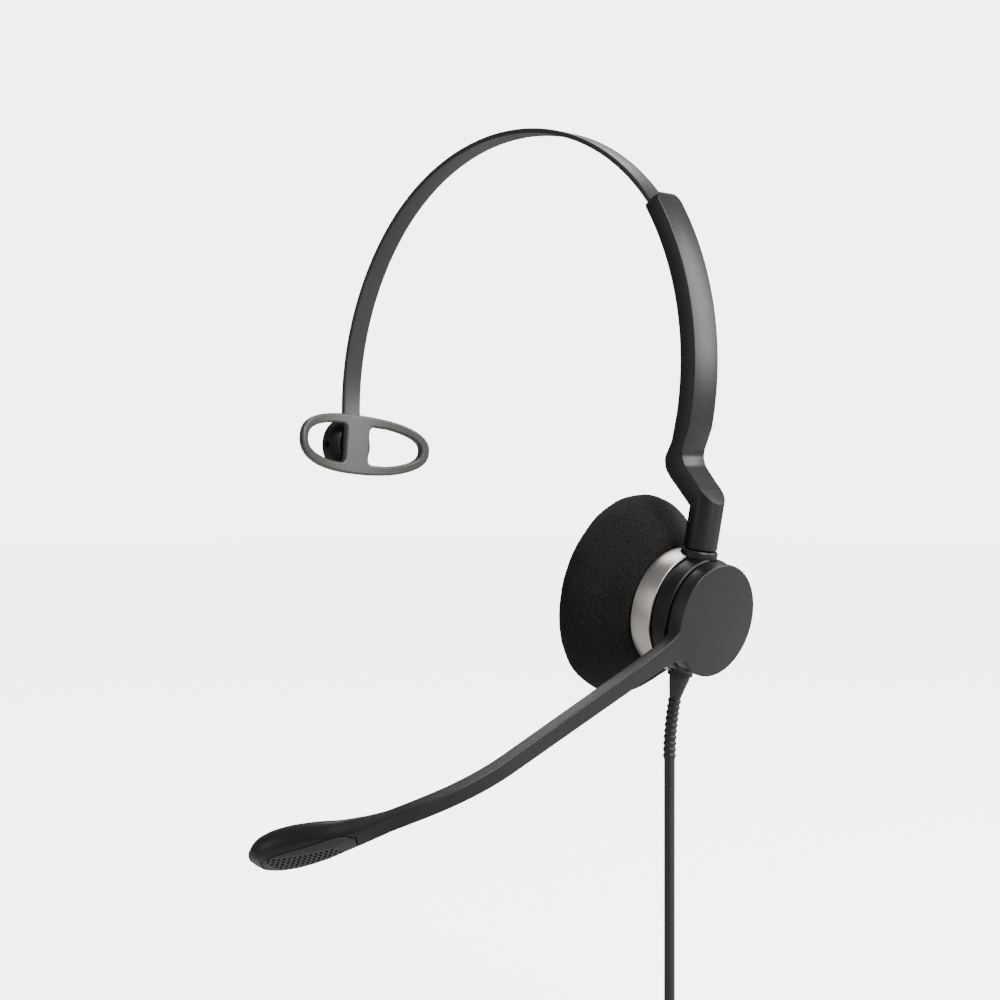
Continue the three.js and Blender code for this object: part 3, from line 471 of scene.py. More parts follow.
def solid(verts, faces):
    """A mesh from points in metres, with its faces turned outwards."""
    mesh = bpy.data.meshes.new("solid")
    mesh.from_pydata([tuple(vert) for vert in verts], [], faces)
    work = bmesh.new()
    work.from_mesh(mesh)
    bmesh.ops.recalc_face_normals(work, faces=work.faces)
    work.to_mesh(mesh)
    work.free()
    return mesh


def lathe(profile, place, sides=128, closed=False):
    """A turned solid from (radius, along) points; place turns (radius, angle, along) to metres."""
    verts, faces, rings = [], [], []
    for radius, along in profile:
        if radius == 0:
            rings.append([len(verts)])
            verts.append(place(0, 0, along))
        else:
            rings.append(list(range(len(verts), len(verts) + sides)))
            verts += [place(radius, math.tau * i / sides, along) for i in range(sides)]
    pairs = list(zip(rings, rings[1:]))
    if closed:
        pairs.append((rings[-1], rings[0]))
    for low, high in pairs:
        for i in range(sides):
            j = (i + 1) % sides
            ring = [low[i % len(low)], low[j % len(low)], high[j % len(high)], high[i % len(high)]]
            ring = list(dict.fromkeys(ring))
            if len(ring) > 2:
                faces.append(ring)
    return solid(verts, faces)


def eased(profile, radius, closed=False, steps=4):
    """Rounds every corner of a profile whose radius and sides allow it."""
    made, count = [], len(profile)
    for i, (x, y) in enumerate(profile):
        here = Vector((x, y))
        if not closed and i in (0, count - 1):
            made.append((x, y))
            continue
        before, after = Vector(profile[i - 1]), Vector(profile[(i + 1) % count])
        a, b = (before - here), (after - here)
        if a.length < 1e-6 or b.length < 1e-6:
            made.append((x, y))
            continue
        bend = math.pi - a.angle(b)
        if bend < math.radians(12):
            made.append((x, y))
            continue
        reach = min(radius * math.tan(bend / 2), 0.45 * a.length, 0.45 * b.length)
        start, end = here + a.normalized() * reach, here + b.normalized() * reach
        for step in range(steps + 1):
            t = step / steps
            made.append(tuple((1 - t) ** 2 * start + 2 * t * (1 - t) * here + t ** 2 * end))
    return made


def combine(mesh, tools, how="DIFFERENCE"):
    """Cuts tools from a mesh, or joins them to it; returns one plain mesh."""
    body, others = placed("body", mesh), [placed("tool", tool) for tool in tools]
    for other in others:
        change = body.modifiers.new("cut", "BOOLEAN")
        change.operation, change.solver, change.object = how, "EXACT", other
    made = result_of(body)
    for other in others:
        bpy.data.objects.remove(other)
    return made


def eased_mesh(mesh, width, segments=3, angle=32):
    """Rounds a mesh's hard edges by a width in millimetres."""
    body = placed("body", mesh)
    change = body.modifiers.new("ease", "BEVEL")
    change.width, change.segments, change.limit_method = width * MM, segments, "ANGLE"
    change.angle_limit, change.use_clamp_overlap = math.radians(angle), True
    change.miter_outer = "MITER_ARC"
    return result_of(body)


def box_mesh(low, high, turn=None):
    """A box between two corners in millimetres, put into metres by a function if given."""
    turn = turn or (lambda p: Vector(p) * MM)
    corners = [turn(Vector((x, y, z))) for x in (low[0], high[0]) for y in (low[1], high[1])
               for z in (low[2], high[2])]
    return solid(corners, [(0, 1, 3, 2), (4, 6, 7, 5), (0, 4, 5, 1), (2, 3, 7, 6), (0, 2, 6, 4),
                           (1, 5, 7, 3)])


def behind_bar(radius, turn, along):
    """Turned round the line that runs out of the back of the T-bar."""
    return Vector((TBAR_MIDDLE[0] - along, radius * math.sin(turn),
                   TBAR_MIDDLE[2] + radius * math.cos(turn))) * MM


black_plastic = finish_of("black_moulding", (0.0020, 0.0020, 0.0019), (0.0032, 0.0032, 0.0030),
                          0.44, specular=0.28)
dome = [(0, 1.5), (6.4, 1.5), (8.1, 3), (8.9, 3.9), (8.9, 7.2), (7.6, 8.6), (5, 9.3), (0, 9.5)]
boss = lathe(eased(dome, 1.2), behind_bar)
knuckle = (-76.6, 0, -90.2)
boss = combine(boss, [box_mesh((knuckle[0] - 2.7, -2.6, knuckle[2] - 4.4),
                               (knuckle[0] + 3.6, 2.6, knuckle[2] + 20)),
                      lathe([(0, -12), (1.05, -12), (1.05, 12), (0, 12)],
                            lambda r, a, d: Vector((knuckle[0] + r * math.cos(a), d,
                                                    knuckle[2] + r * math.sin(a))) * MM, 32)])
# Painted shade: the dome is given the black moulding to stand for the shadow it sits in behind the
# T-bar.
piece("t_bar_dome", tidy(eased_mesh(tidy(boss), 0.25)), "t_bar", ["t_bar_boss"],
      black_plastic)

# ---- Slider arm ----
# One crisp dark moulding: a hollow sleeve that slides on the band, a knee where it steps in, and a
# round post that turns in the ear cup. Its long edges are lightly broken and catch the light.
arm_plastic = finish_of("satin_dark_plastic", (0.0078, 0.0070, 0.0058),
                        (0.0112, 0.0101, 0.0085), 0.36, specular=0.32)


def on_slide(radius, angle):
    return (SLIDE_CENTRE[0] + radius * math.cos(math.radians(angle)),
            SLIDE_CENTRE[1] + radius * math.sin(math.radians(angle)))


SLEEVE_INNER, SLEEVE_OUTER, SLEEVE_MOUTH, SLEEVE_HALF = 79.7, 84.8, 33.6, 5.1
MOUTH_CORNER, JOG_HALF = 2.6, 4.6
stations = []  # outer point, inner point, half width
for angle in [33.6, 33.4, 33.1, 32.7, 32.3, 31.9] + [31.2 - 1.6 * i for i in range(26)]:
    down = (SLEEVE_MOUTH - angle) * math.radians(1) * 82
    half = SLEEVE_HALF - MOUTH_CORNER + math.sqrt(
        max(0, MOUTH_CORNER ** 2 - max(0, MOUTH_CORNER - down) ** 2))
    stations.append((on_slide(SLEEVE_OUTER, angle), on_slide(SLEEVE_INNER, angle), half))
outer_line = [on_slide(SLEEVE_OUTER, -10.5), on_slide(SLEEVE_OUTER, -12.5), (68.6, -94.3),
              (68.3, -96.6), (69.1, -98.9), (74.9, -106)]
inner_line = [on_slide(SLEEVE_INNER, -10.5), on_slide(SLEEVE_INNER, -16), (62.2, -97),
              (62.5, -99.8), (64, -102.2), (73, -112.4)]


def spaced(line, count):
    """Evenly spaced points along a path."""
    line = [Vector(p) for p in line]
    run = np.concatenate([[0], np.cumsum([(b - a).length for a, b in zip(line, line[1:])])])
    at = np.linspace(0, run[-1], count)
    return [(np.interp(t, run, [p.x for p in line]), np.interp(t, run, [p.y for p in line]))
            for t in at]


outer_fine, inner_fine = (spaced(eased(line, 2.2, steps=5), 36)
                          for line in (outer_line, inner_line))
for out, into in zip(outer_fine, inner_fine):
    taper = min(max((-94 - (out[1] + into[1]) / 2) / 8, 0), 1)
    stations.append((out, into, SLEEVE_HALF + taper * (JOG_HALF - SLEEVE_HALF)))
verts = [(x * MM, y * MM, z * MM) for (ox, oz), (ix, iz), half in stations
         for x, y, z in ((ox, half, oz), (ox, -half, oz), (ix, -half, iz), (ix, half, iz))]
faces = [(4 * i + a, 4 * i + b, 4 * i + 4 + b, 4 * i + 4 + a) for i in range(len(stations) - 1)
         for a, b in ((0, 1), (1, 2), (2, 3), (3, 0))]
faces += [(0, 1, 2, 3), tuple(len(verts) - 4 + i for i in (3, 2, 1, 0))]
arm = bpy.data.meshes.new("arm")
arm.from_pydata(verts, [], faces)
arm = eased_mesh(tidy(arm), 0.4, 3, 40)


def slab(outline, half):
    """A block with an outline in x and z, in millimetres, and a half width along y."""
    count = len(outline)
    return solid([(x * MM, y * MM, z * MM) for y in (-half, half) for x, z in outline],
                 [tuple(range(count)), tuple(range(2 * count - 1, count - 1, -1))]
                 + [(i, (i + 1) % count, count + (i + 1) % count, count + i)
                    for i in range(count)])


def slide_block(inner, outer, low, high, half):
    """A part of a ring round the slide arc, as a cutting tool."""
    angles = np.linspace(low, high, 40)
    ring = [on_slide(outer, a) for a in angles] + [on_slide(inner, a) for a in angles[::-1]]
    return slab(ring, half)


hub_middle = Vector(joints["boom_swing"]["pos_m"]) / MM
outwards = -Vector(joints["boom_swing"]["axis"]).normalized()
post_up = Vector(joints["cup_swivel"]["axis"]).normalized()
forward = Vector((0, -1, 0))
POST_DEPTH = 9.8  # of the post's middle line behind the hub's face


def in_cup(across, depth, height):
    """A point in the cup's own frame, in millimetres, put into the object's frame in metres."""
    return (hub_middle + forward * across - outwards * depth + post_up * height) * MM


def round_hub(radius, turn, depth):
    return in_cup(radius * math.cos(turn), depth, radius * math.sin(turn))


def round_post(radius, turn, height):
    return in_cup(radius * math.cos(turn), POST_DEPTH + radius * math.sin(turn), height)


post = lathe(eased([(0, 7.2), (3, 7.2), (3, 17.95), (4.6, 17.95), (4.6, 36), (0, 36)], 0.25),
             round_post, 96)
above = slab([(60.3, -87.2), (69.1, -98.95), (80.1, -112.35), (95, -100), (80, -80)], 12)
post = eased_mesh(tidy(combine(post, [tidy(above)])), 0.3, 3, 40)
arm = combine(arm, [slide_block(SLEEVE_INNER - 2, SLEEVE_OUTER - 1.3, -16.5, 31.6, 4.0),
                    slide_block(SLEEVE_INNER - 1, 82.25, 30.6, 35.6, 4.0)])
arm = combine(arm, [post], "UNION")
piece("slider_arm_moulding", tidy(arm, 30), "slider_arm", ["arm_shell"],
      arm_plastic)

# ---- Ear cup housings ----
# Turned-looking mouldings stacked behind the hub: a black bearing housing, a ring of warm satin
# metal and the speaker's bowl. The post and the cord's gland enter through notches in their rims.


def post_hole(radius, low, high):
    return lathe([(0, low), (radius, low), (radius, high), (0, high)], round_post, 96)


def housing(profile, ease):
    """A turned part of the cup, with the notches for the post and the gland cut through it."""
    body = lathe(eased(profile, ease, True), round_hub, 160, True)
    return tidy(combine(body, [post_hole(5.18, 12.7, 26), post_hole(3.7, -22, -12.5)]), 30)


front = housing([(3.6, 4.8), (15.6, 4.8), (16, 5.2), (16, 9.6), (14.4, 9.6), (14.4, 6.1),
                 (3.6, 6.1)], 0.25)
piece("bearing_housing", front, "ear_cup", ["housing_front"], black_plastic)

satin_metal = finish_of("warm_satin_metal", (0.46, 0.43, 0.395), (0.53, 0.495, 0.455), 0.33,
                        0.05, 1.0, 4200.0, 90.0, 0.08)
ring = housing([(15.85, 9.9), (16.7, 9.9), (16.7, 16.6), (15.85, 16.6)], 0.3)
piece("metal_trim_ring", ring, "ear_cup", ["trim_ring"], satin_metal)

bowl = housing([(15.5, 9.9), (15.5, 18), (22.6, 26), (22.6, 27.4), (21.4, 27.4), (21.4, 26.5),
                (14.2, 18.5), (14.2, 9.9)], 0.4)
piece("speaker_bowl_moulding", bowl, "ear_cup", ["speaker_bowl"], black_plastic)

collar = lathe(eased([(3.1, 13), (4.98, 13), (4.98, 15.0), (4.8, 15.15), (4.8, 15.4), (4.98, 15.55),
                      (4.98, 17.2), (4.58, 17.6), (3.1, 17.6)], 0.12, True), round_post, 96, True)
piece("post_collar", tidy(collar, 30), "ear_cup", ["socket_collar"], arm_plastic)
gland = lathe(eased([(2.95, -17.6), (3.5, -17.6), (3.5, -12.8), (2.95, -12.8)], 0.15, True),
              round_post, 96, True)
piece("gland_collar", tidy(gland, 30), "ear_cup", ["cord_gland"], arm_plastic)

# ---- Cushion ----
# A soft pad of dark open-cell foam, pulled over the bowl. It is a little taller than it is long,
# crowned at the rim and dished where the ear lies, and its skin is pitted with small open cells.
foam_skin, tree, shader = bare_finish("open_cell_foam")
place = node(tree, "TexCoord")
cells = node(tree, "TexVoronoi", Scale=2300.0, Randomness=1.0)
soft = node(tree, "TexNoise", Scale=1300.0, Detail=5.0, Roughness=0.7)
worn = node(tree, "TexNoise", Scale=70.0, Detail=3.0)
for texture in (cells, soft, worn):
    link(tree, place.outputs["Object"], texture.inputs["Vector"])
# Painted shade: the ramp turns the cell pits near black, the shade in the hollows; the worn noise
# adds random lighter patches.
pit_shade_ramp = node(tree, "ValToRGB")
pit_shade_ramp.color_ramp.elements[0].position, pit_shade_ramp.color_ramp.elements[1].position = 0.15, 0.62
pit_shade_ramp.color_ramp.elements[0].color = (0.0008, 0.0008, 0.0008, 1)
pit_shade_ramp.color_ramp.elements[1].color = (0.0135, 0.013, 0.012, 1)
lift = maths(tree, "MULTIPLY_ADD",
             maths(tree, "MULTIPLY", cells.outputs["Distance"], soft.outputs["Fac"]), 1.7,
             maths(tree, "MULTIPLY", worn.outputs["Fac"], 0.18))
link(tree, lift, pit_shade_ramp.inputs["Fac"])
link(tree, pit_shade_ramp.outputs["Color"], shader.inputs["Base Color"])
rough = node(tree, "Bump", Strength=0.7, Distance=0.0003)
link(tree, lift, rough.inputs["Height"])
link(tree, rough.outputs["Normal"], shader.inputs["Normal"])
shader.inputs["Roughness"].default_value = 0.95
shader.inputs["Specular IOR Level"].default_value = 0.12
shader.inputs["Sheen Weight"].default_value = 0.02
shader.inputs["Sheen Roughness"].default_value = 0.6

skin = [(0, 34.9), (6, 34.9), (10, 35.2), (13, 36.0), (17, 36.4), (21, 36.4), (24, 36.2),
        (26.2, 35.5), (27.8, 34.1), (28.4, 32.2), (28.3, 30.2), (27.3, 27.9), (25.0, 24.9),
        (22.6, 22.2), (20.2, 19.2), (18.4, 17.3), (17.3, 16.9), (16.1, 17.2)]
OVAL = 0.94  # the pad's length over its height


def round_pad(radius, turn, depth):
    return in_cup(OVAL * radius * math.cos(turn), depth, radius * math.sin(turn))


pad = lathe(spaced(eased(skin, 1.6), 64) + [(15.0, 17.2), (0, 17.2)], round_pad, 220)
seat = lathe([(0, 14), (15.9, 14), (15.9, 17.7), (22.95, 25.7), (22.95, 29.9), (0, 29.9)],
             round_hub, 160)
pad = tidy(pad, 180)
pad_middle = in_cup(0, 24, 0)
for vert in pad.vertices:
    lumps = noise.noise(vert.co * 160) * 0.16 + noise.noise(vert.co * 900) * 0.07
    vert.co += (Vector(vert.co) - pad_middle).normalized() * lumps * MM
pad = tidy(combine(pad, [seat]), 50)
cushion = piece("ear_cushion", pad, "ear_cup", ["foam_cushion"], foam_skin)

# ---- Boom and hub ----
# The hub disc and the microphone boom are one dark satin moulding. The flat bar leaves the disc
# flush with its face, bends round to the mouth and swells into the microphone's pod.
BOOM_DROOP, BEND_TURN, POD_ROLL = (math.radians(angle) for angle in (24.6, 46, 24))
STRAIGHT, BEND_RADIUS, BAR_DEPTH, SAG_FROM, SAG = 78.5, 62, 1.7, 106, 0.11
boom_front = forward * math.cos(BOOM_DROOP) - post_up * math.sin(BOOM_DROOP)
boom_up = post_up * math.cos(BOOM_DROOP) + forward * math.sin(BOOM_DROOP)
# Half heights and half thicknesses of the boom at lengths from the hub's middle.
heights = ((12.0, 7.2), (13.3, 6.3), (14.3, 5.2), (15.3, 4.35), (16.6, 3.65), (18.6, 3.1),
           (22, 2.75), (30, 2.5), (60, 2.3), (100, 2.1), (112, 2.05), (117, 2.4), (122, 3.5),
           (127, 4.9), (131.5, 5.7), (136, 6.0), (140, 5.8), (143.5, 4.9), (145.8, 3.3), (147, 1.3))
thicknesses = ((12, 1.7), (113, 1.7), (121, 2.7), (128, 3.7), (135, 4.0), (140, 3.8), (144, 3.0),
               (147, 1.0))


def smooth_step(low, high, value):
    share = min(max((value - low) / (high - low), 0), 1)
    return share * share * (3 - 2 * share)


def boom_frame(length):
    """The boom's middle, the way out of its face and the way across it, some way from the hub."""
    bend = min(max(length - STRAIGHT, 0), BEND_RADIUS * BEND_TURN)
    turn = bend / BEND_RADIUS
    rest = length - min(length, STRAIGHT) - bend
    x = min(length, STRAIGHT) + BEND_RADIUS * math.sin(turn) + rest * math.cos(turn)
    depth = BAR_DEPTH + BEND_RADIUS * (1 - math.cos(turn)) + rest * math.sin(turn)
    past = length - SAG_FROM
    sag = -SAG * (past + math.hypot(past, 6)) / 2
    roll = POD_ROLL * smooth_step(110, 126, length)
    facing = (math.sin(turn) * math.cos(roll), math.cos(turn) * math.cos(roll), -math.sin(roll))
    upward = (math.sin(turn) * math.sin(roll), math.cos(turn) * math.sin(roll), math.cos(roll))
    base = hub_middle + boom_front * x - outwards * depth + boom_up * sag

    def way(v):
        return boom_front * v[0] + outwards * v[1] + boom_up * v[2]
    return base, way(facing), way(upward)


def corner_of(length, half, tall):
    """The radius of the boom's long edges, small on the bar and full on the pod."""
    return min(half, tall) * (0.24 + 0.68 * smooth_step(113, 127, length))


def eased_value(table, length, reach=1.2):
    """A value read off a table, with its corners rounded."""
    marks, values = zip(*table)
    return float(np.mean([np.interp(length + reach * s, marks, values)
                          for s in np.linspace(-1, 1, 9)]))


def loft(rings):
    """A closed solid through rings of points, in millimetres."""
    count = len(rings[0])
    verts = [tuple(Vector(point) * MM) for ring in rings for point in ring]
    faces = [tuple(range(count)), tuple(len(verts) - 1 - i for i in range(count))]
    for i in range(len(rings) - 1):
        for j in range(count):
            k = (j + 1) % count
            faces.append((i * count + j, i * count + k, (i + 1) * count + k, (i + 1) * count + j))
    mesh = bpy.data.meshes.new("loft")
    mesh.from_pydata(verts, [], faces)
    return tidy(mesh)


def boom_ring(length, count=36):
    """The rounded outline of the boom at a length from the hub."""
    base, facing, upward = boom_frame(length)
    half = eased_value(thicknesses, length, 1.2 if length < 144 else 0.4)
    tall = eased_value(heights, length, 1.2 if length < 144 else 0.3)
    round_off = corner_of(length, half, tall)
    ring = []
    for i in range(count):
        corner = 4 * i // count
        turn = math.radians(90 * corner + 90 * (i % (count // 4)) / (count // 4 - 1))
        side, top = ((1, 1), (-1, 1), (-1, -1), (1, -1))[corner]
        ring.append(base + facing * (side * (half - round_off) + round_off * math.cos(turn))
                    + upward * (top * (tall - round_off) + round_off * math.sin(turn)))
    return ring


lengths = [12.4, 13, 13.6, 14.2, 14.8, 15.4, 16, 17, 18, 19.5, 21, 23, 26]
lengths += [*np.linspace(30, 76, 14), *np.linspace(78, 143, 66)]
lengths += [144, 144.8, 145.5, 146.1, 146.6, 146.9, 147.05]
bar = loft([boom_ring(length) for length in lengths])
for vert in bar.vertices:
    vert.co -= outwards * 0.012 * MM
disc = lathe(eased([(0, 0), (15.5, 0), (15.5, 4.4), (14, 4.4), (14, 1.6), (3.4, 1.6), (3.4, 7.2),
                    (1.15, 7.2), (1.15, 3), (0, 3)], 0.45), round_hub, 192)
boom = combine(tidy(disc), [bar], "UNION")


def pocket_half(share, inset=0.0):
    """Half the height of the pod's oval pocket at a share of its length, -1 to 1."""
    return (4.2 - inset) * math.sqrt(max(0.12, 1 - abs(share) ** 3))


def along_boom(lengths, half_of):
    """A bar of four sides that follows the boom; half_of gives its half depth and half height."""
    rings = []
    for length in lengths:
        base, facing, upward = boom_frame(length)
        deep, tall = half_of(length)
        rings.append([base + facing * deep * a + upward * tall * b
                      for a, b in ((-1, -1), (1, -1), (1, 1), (-1, 1))])
    return loft(rings)


pocket = along_boom(np.linspace(120.5, 144, 41),
                    lambda length: (6, pocket_half((length - 120.5) / 11.75 - 1)))
lead_channel = along_boom(np.linspace(12, 122.5, 90), lambda length: (0.7, 0.7))
boom = combine(combine(boom, [pocket]), [lead_channel])
piece("boom_moulding", tidy(boom, 30), "boom", ["boom_arm"], arm_plastic)

# ---- Microphone grilles ----
# Oval inserts clipped into both faces of the pod. Each is pierced by fourteen by five small square
# holes in a leaning pattern, over a black foam pad.
pierced, pierced_in = geometry_tree("pierced_plate", [
    ("Columns", "NodeSocketInt", 14), ("Rows", "NodeSocketInt", 5),
    ("Pitch", "NodeSocketFloat", 0.00125), ("Row Pitch", "NodeSocketFloat", 0.00115),
    ("Hole", "NodeSocketFloat", 0.00062), ("Lean", "NodeSocketFloat", 0.45),
    ("Middle", "NodeSocketVector", (0, 0, 0)), ("Turn", "NodeSocketRotation", (0, 0, 0))])
grid = gnode(pierced, "MeshGrid")
for count, pitch, size, number in (("Columns", "Pitch", "Size X", "Vertices X"),
                                   ("Rows", "Row Pitch", "Size Y", "Vertices Y")):
    spaces = maths(pierced, "SUBTRACT", pierced_in.outputs[count], 1)
    link(pierced, maths(pierced, "MULTIPLY", spaces, pierced_in.outputs[pitch]),
         grid.inputs[size])
    link(pierced, pierced_in.outputs[count], grid.inputs[number])
where = gnode(pierced, "InputPosition")
parts = pierced.nodes.new("ShaderNodeSeparateXYZ")
link(pierced, where.outputs[0], parts.inputs[0])
shift = pierced.nodes.new("ShaderNodeCombineXYZ")
link(pierced, maths(pierced, "MULTIPLY", parts.outputs["Y"], pierced_in.outputs["Lean"]),
     shift.inputs["X"])
leant = gnode(pierced, "SetPosition")
link(pierced, grid.outputs["Mesh"], leant.inputs["Geometry"])
link(pierced, shift.outputs[0], leant.inputs["Offset"])
punch = gnode(pierced, "MeshCube")
size = pierced.nodes.new("ShaderNodeCombineXYZ")
link(pierced, pierced_in.outputs["Hole"], size.inputs["X"])
link(pierced, pierced_in.outputs["Hole"], size.inputs["Y"])
size.inputs["Z"].default_value = 0.01
link(pierced, size.outputs[0], punch.inputs["Size"])
spots = gnode(pierced, "InstanceOnPoints")
link(pierced, leant.outputs[0], spots.inputs["Points"])
link(pierced, punch.outputs["Mesh"], spots.inputs["Instance"])
punches = gnode(pierced, "RealizeInstances")
link(pierced, spots.outputs[0], punches.inputs[0])
set_there = gnode(pierced, "Transform")
link(pierced, punches.outputs[0], set_there.inputs["Geometry"])
link(pierced, pierced_in.outputs["Middle"], set_there.inputs["Translation"])
link(pierced, pierced_in.outputs["Turn"], set_there.inputs["Rotation"])
drill = gnode(pierced, "MeshBoolean", operation="DIFFERENCE", solver="EXACT")
link(pierced, pierced_in.outputs["Geometry"], drill.inputs["Mesh 1"])
link(pierced, set_there.outputs[0], drill.inputs["Mesh 2"])
grille_plastic = finish_of("grille_black", (0.0085, 0.008, 0.0072), (0.0125, 0.0118, 0.0107), 0.42)
close_tree(pierced, drill.outputs["Mesh"], grille_plastic)
GRILLE_START, GRILLE_END, GRILLE_THICK = 120.8, 143.7, 0.9
across = np.linspace(-1, 1, 15)
for name, cad, side in (("grille_out", "grille_outer", 1), ("grille_in", "grille_inner", -1)):
    rings = []
    for length in np.linspace(GRILLE_START, GRILLE_END, 61):
        base, facing, upward = boom_frame(length)
        half, tall = eased_value(thicknesses, length), eased_value(heights, length)
        round_off = corner_of(length, half, tall)
        wide = pocket_half(2 * (length - GRILLE_START) / (GRILLE_END - GRILLE_START) - 1, 0.22)
        crown = [half - round_off + math.sqrt(max(0.05, round_off ** 2 - max(
            0, abs(wide * t) - (tall - round_off)) ** 2)) + 0.12 * (1 - t ** 2) for t in across]
        rings.append([base + facing * side * c + upward * wide * t for t, c in zip(across, crown)]
                     + [base + facing * side * (c - GRILLE_THICK) + upward * wide * t
                        for t, c in zip(across[::-1], crown[::-1])])
    plate = loft(rings)
    base, facing, upward = boom_frame(133)
    ahead = upward.cross(facing)
    turn = Matrix((ahead, upward, facing)).transposed().to_euler()
    mesh = grown(name, plate, pierced, {
        "Columns": 14, "Rows": 5, "Pitch": 1.28 * MM, "Row Pitch": 1.05 * MM, "Hole": 0.66 * MM,
        "Lean": -0.75, "Middle": tuple((base - upward * 0.75) * MM), "Turn": tuple(turn)})
    piece(name, tidy(mesh, 30), "boom", [cad], grille_plastic)

# ---- Ribbed tail of the cord ----
# A soft black rubber strain relief moulded on the cord: a smooth cone under the gland, then a
# slimmer tail with a dozen shallow ribs that lets the cord bend without kinking.
rubber = finish_of("black_rubber", (0.004, 0.004, 0.004), (0.0075, 0.0073, 0.007), 0.5, 0.1,
                   0.0, 1500.0)
ribbed, ribbed_in = geometry_tree("ribbed_tail", [
    ("Plug", "NodeSocketFloat", 0.0045), ("Cone", "NodeSocketFloat", 0.0056),
    ("Wide", "NodeSocketFloat", 0.00295), ("Slim", "NodeSocketFloat", 0.0017),
    ("Rib", "NodeSocketFloat", 0.00013), ("Rib Pitch", "NodeSocketFloat", 0.0017)])
along = gnode(ribbed, "SplineParameter").outputs["Length"]
past = maths(ribbed, "SUBTRACT", along, ribbed_in.outputs["Plug"])
share = ribbed.nodes.new("ShaderNodeMapRange")
link(ribbed, past, share.inputs["Value"])
link(ribbed, ribbed_in.outputs["Cone"], share.inputs["From Max"])
link(ribbed, ribbed_in.outputs["Wide"], share.inputs["To Min"])
link(ribbed, ribbed_in.outputs["Slim"], share.inputs["To Max"])
turns = maths(ribbed, "MULTIPLY", math.tau,
              maths(ribbed, "DIVIDE", past, ribbed_in.outputs["Rib Pitch"]))
crisp = maths(ribbed, "MULTIPLY", maths(ribbed, "SINE", turns), 3.0)
wave = maths(ribbed, "MULTIPLY", maths(ribbed, "TANH", crisp),
             ribbed_in.outputs["Rib"])
ribs = maths(ribbed, "MULTIPLY", wave, maths(
    ribbed, "GREATER_THAN", past, ribbed_in.outputs["Cone"]))
girth = maths(ribbed, "MINIMUM",
              maths(ribbed, "ADD", share.outputs["Result"], ribs), 0.0028)
section = gnode(ribbed, "CurvePrimitiveCircle", mode="RADIUS")
section.inputs["Resolution"].default_value = 40
section.inputs["Radius"].default_value = 1.0
tail = gnode(ribbed, "CurveToMesh")
link(ribbed, ribbed_in.outputs["Geometry"], tail.inputs["Curve"])
link(ribbed, section.outputs[0], tail.inputs["Profile Curve"])
link(ribbed, girth, tail.inputs["Scale"])
tail.inputs["Fill Caps"].default_value = True
close_tree(ribbed, tail.outputs[0], rubber)
gland_end = hub_middle - outwards * POST_DEPTH - post_up * 17.9


def tail_point(distance):
    """A point of the tail's middle line, which bends from the gland's lean to plumb."""
    lean = distance * math.tan(math.radians(11.5))
    if distance > 0:
        lean = 0.31 * (distance - distance ** 2 / 47)
    return (gland_end + Vector((-lean, 0, -0.983 * distance))) * MM


tail_path = line_of("tail_path", [tail_point(d) for d in np.linspace(-4.5, 23.5, 225)])
tail_mesh = grown("ribbed_tail", tail_path, ribbed, {
    "Plug": 4.5 * MM, "Cone": 5.8 * MM, "Wide": 2.95 * MM, "Slim": 1.7 * MM, "Rib": 0.13 * MM,
    "Rib Pitch": 1.7 * MM})
piece("ribbed_tail", tidy(tail_mesh, 50), "ear_cup", ["strain_relief"], rubber)

# ---- Tie and plug ----
# A woven hook-and-loop tie holds the coil. The flat black plug has two shells with a parting line,
# finger ribs on both faces, and a tongue with four gilt contacts inside.
tie_weave, tree, shader = bare_finish("woven_tie")
place = node(tree, "TexCoord")
threads = []
for axis, scale in (("X", 900.0), ("Y", 1100.0)):
    wave_node = node(tree, "TexWave", Scale=scale, Distortion=0.4)
    wave_node.bands_direction = axis
    link(tree, place.outputs["Object"], wave_node.inputs["Vector"])
    threads.append(wave_node.outputs["Fac"])
cross = maths(tree, "MULTIPLY", *threads)
tie_ramp = node(tree, "ValToRGB")
tie_ramp.color_ramp.elements[0].color = (0.006, 0.006, 0.0062, 1)
tie_ramp.color_ramp.elements[1].color = (0.03, 0.03, 0.031, 1)
link(tree, cross, tie_ramp.inputs["Fac"])
link(tree, tie_ramp.outputs["Color"], shader.inputs["Base Color"])
tie_bump = node(tree, "Bump", Strength=0.5, Distance=0.0002)
link(tree, cross, tie_bump.inputs["Height"])
link(tree, tie_bump.outputs["Normal"], shader.inputs["Normal"])
shader.inputs["Roughness"].default_value = 0.9
TIE_X, TIE_HALF, TIE_HALF_THICK = 27, 3, 0.22
around = eased([(-5.45, -269.25), (5.45, -269.25), (5.45, -259.15), (-5.45, -259.15)], 3.2, True, 8)
verts, faces, count = [], [], len(around)
for i, (x, z) in enumerate(around):
    run = (Vector(around[(i + 1) % count]) - Vector(around[i - 1])).normalized() * TIE_HALF_THICK
    for sign, y in ((-1, -TIE_HALF), (-1, TIE_HALF), (1, TIE_HALF), (1, -TIE_HALF)):
        verts.append(tuple(Vector((TIE_X + x + sign * run.y, y, z - sign * run.x)) * MM))
    j = (i + 1) % count
    faces += [(4 * i + a, 4 * i + b, 4 * j + b, 4 * j + a)
              for a, b in ((0, 1), (1, 2), (2, 3), (3, 0))]
tie_mesh = bpy.data.meshes.new("tie")
tie_mesh.from_pydata(verts, [], faces)
tie = piece("coil_strap", tidy(tie_mesh, 40), "ear_cup", ["coil_tie"], tie_weave)

PLUG_BACK, PLUG_Y, PLUG_Z = 15.7, -19.5, -265.0
plug_pieces = [tie]


def in_plug(point):
    """A point from the middle of the plug's back, in millimetres, put into metres."""
    return Vector((PLUG_BACK + point[0], PLUG_Y + point[1], PLUG_Z + point[2])) * MM


def round_plug(radius, turn, along):
    return in_plug((along, radius * math.cos(turn), radius * math.sin(turn)))


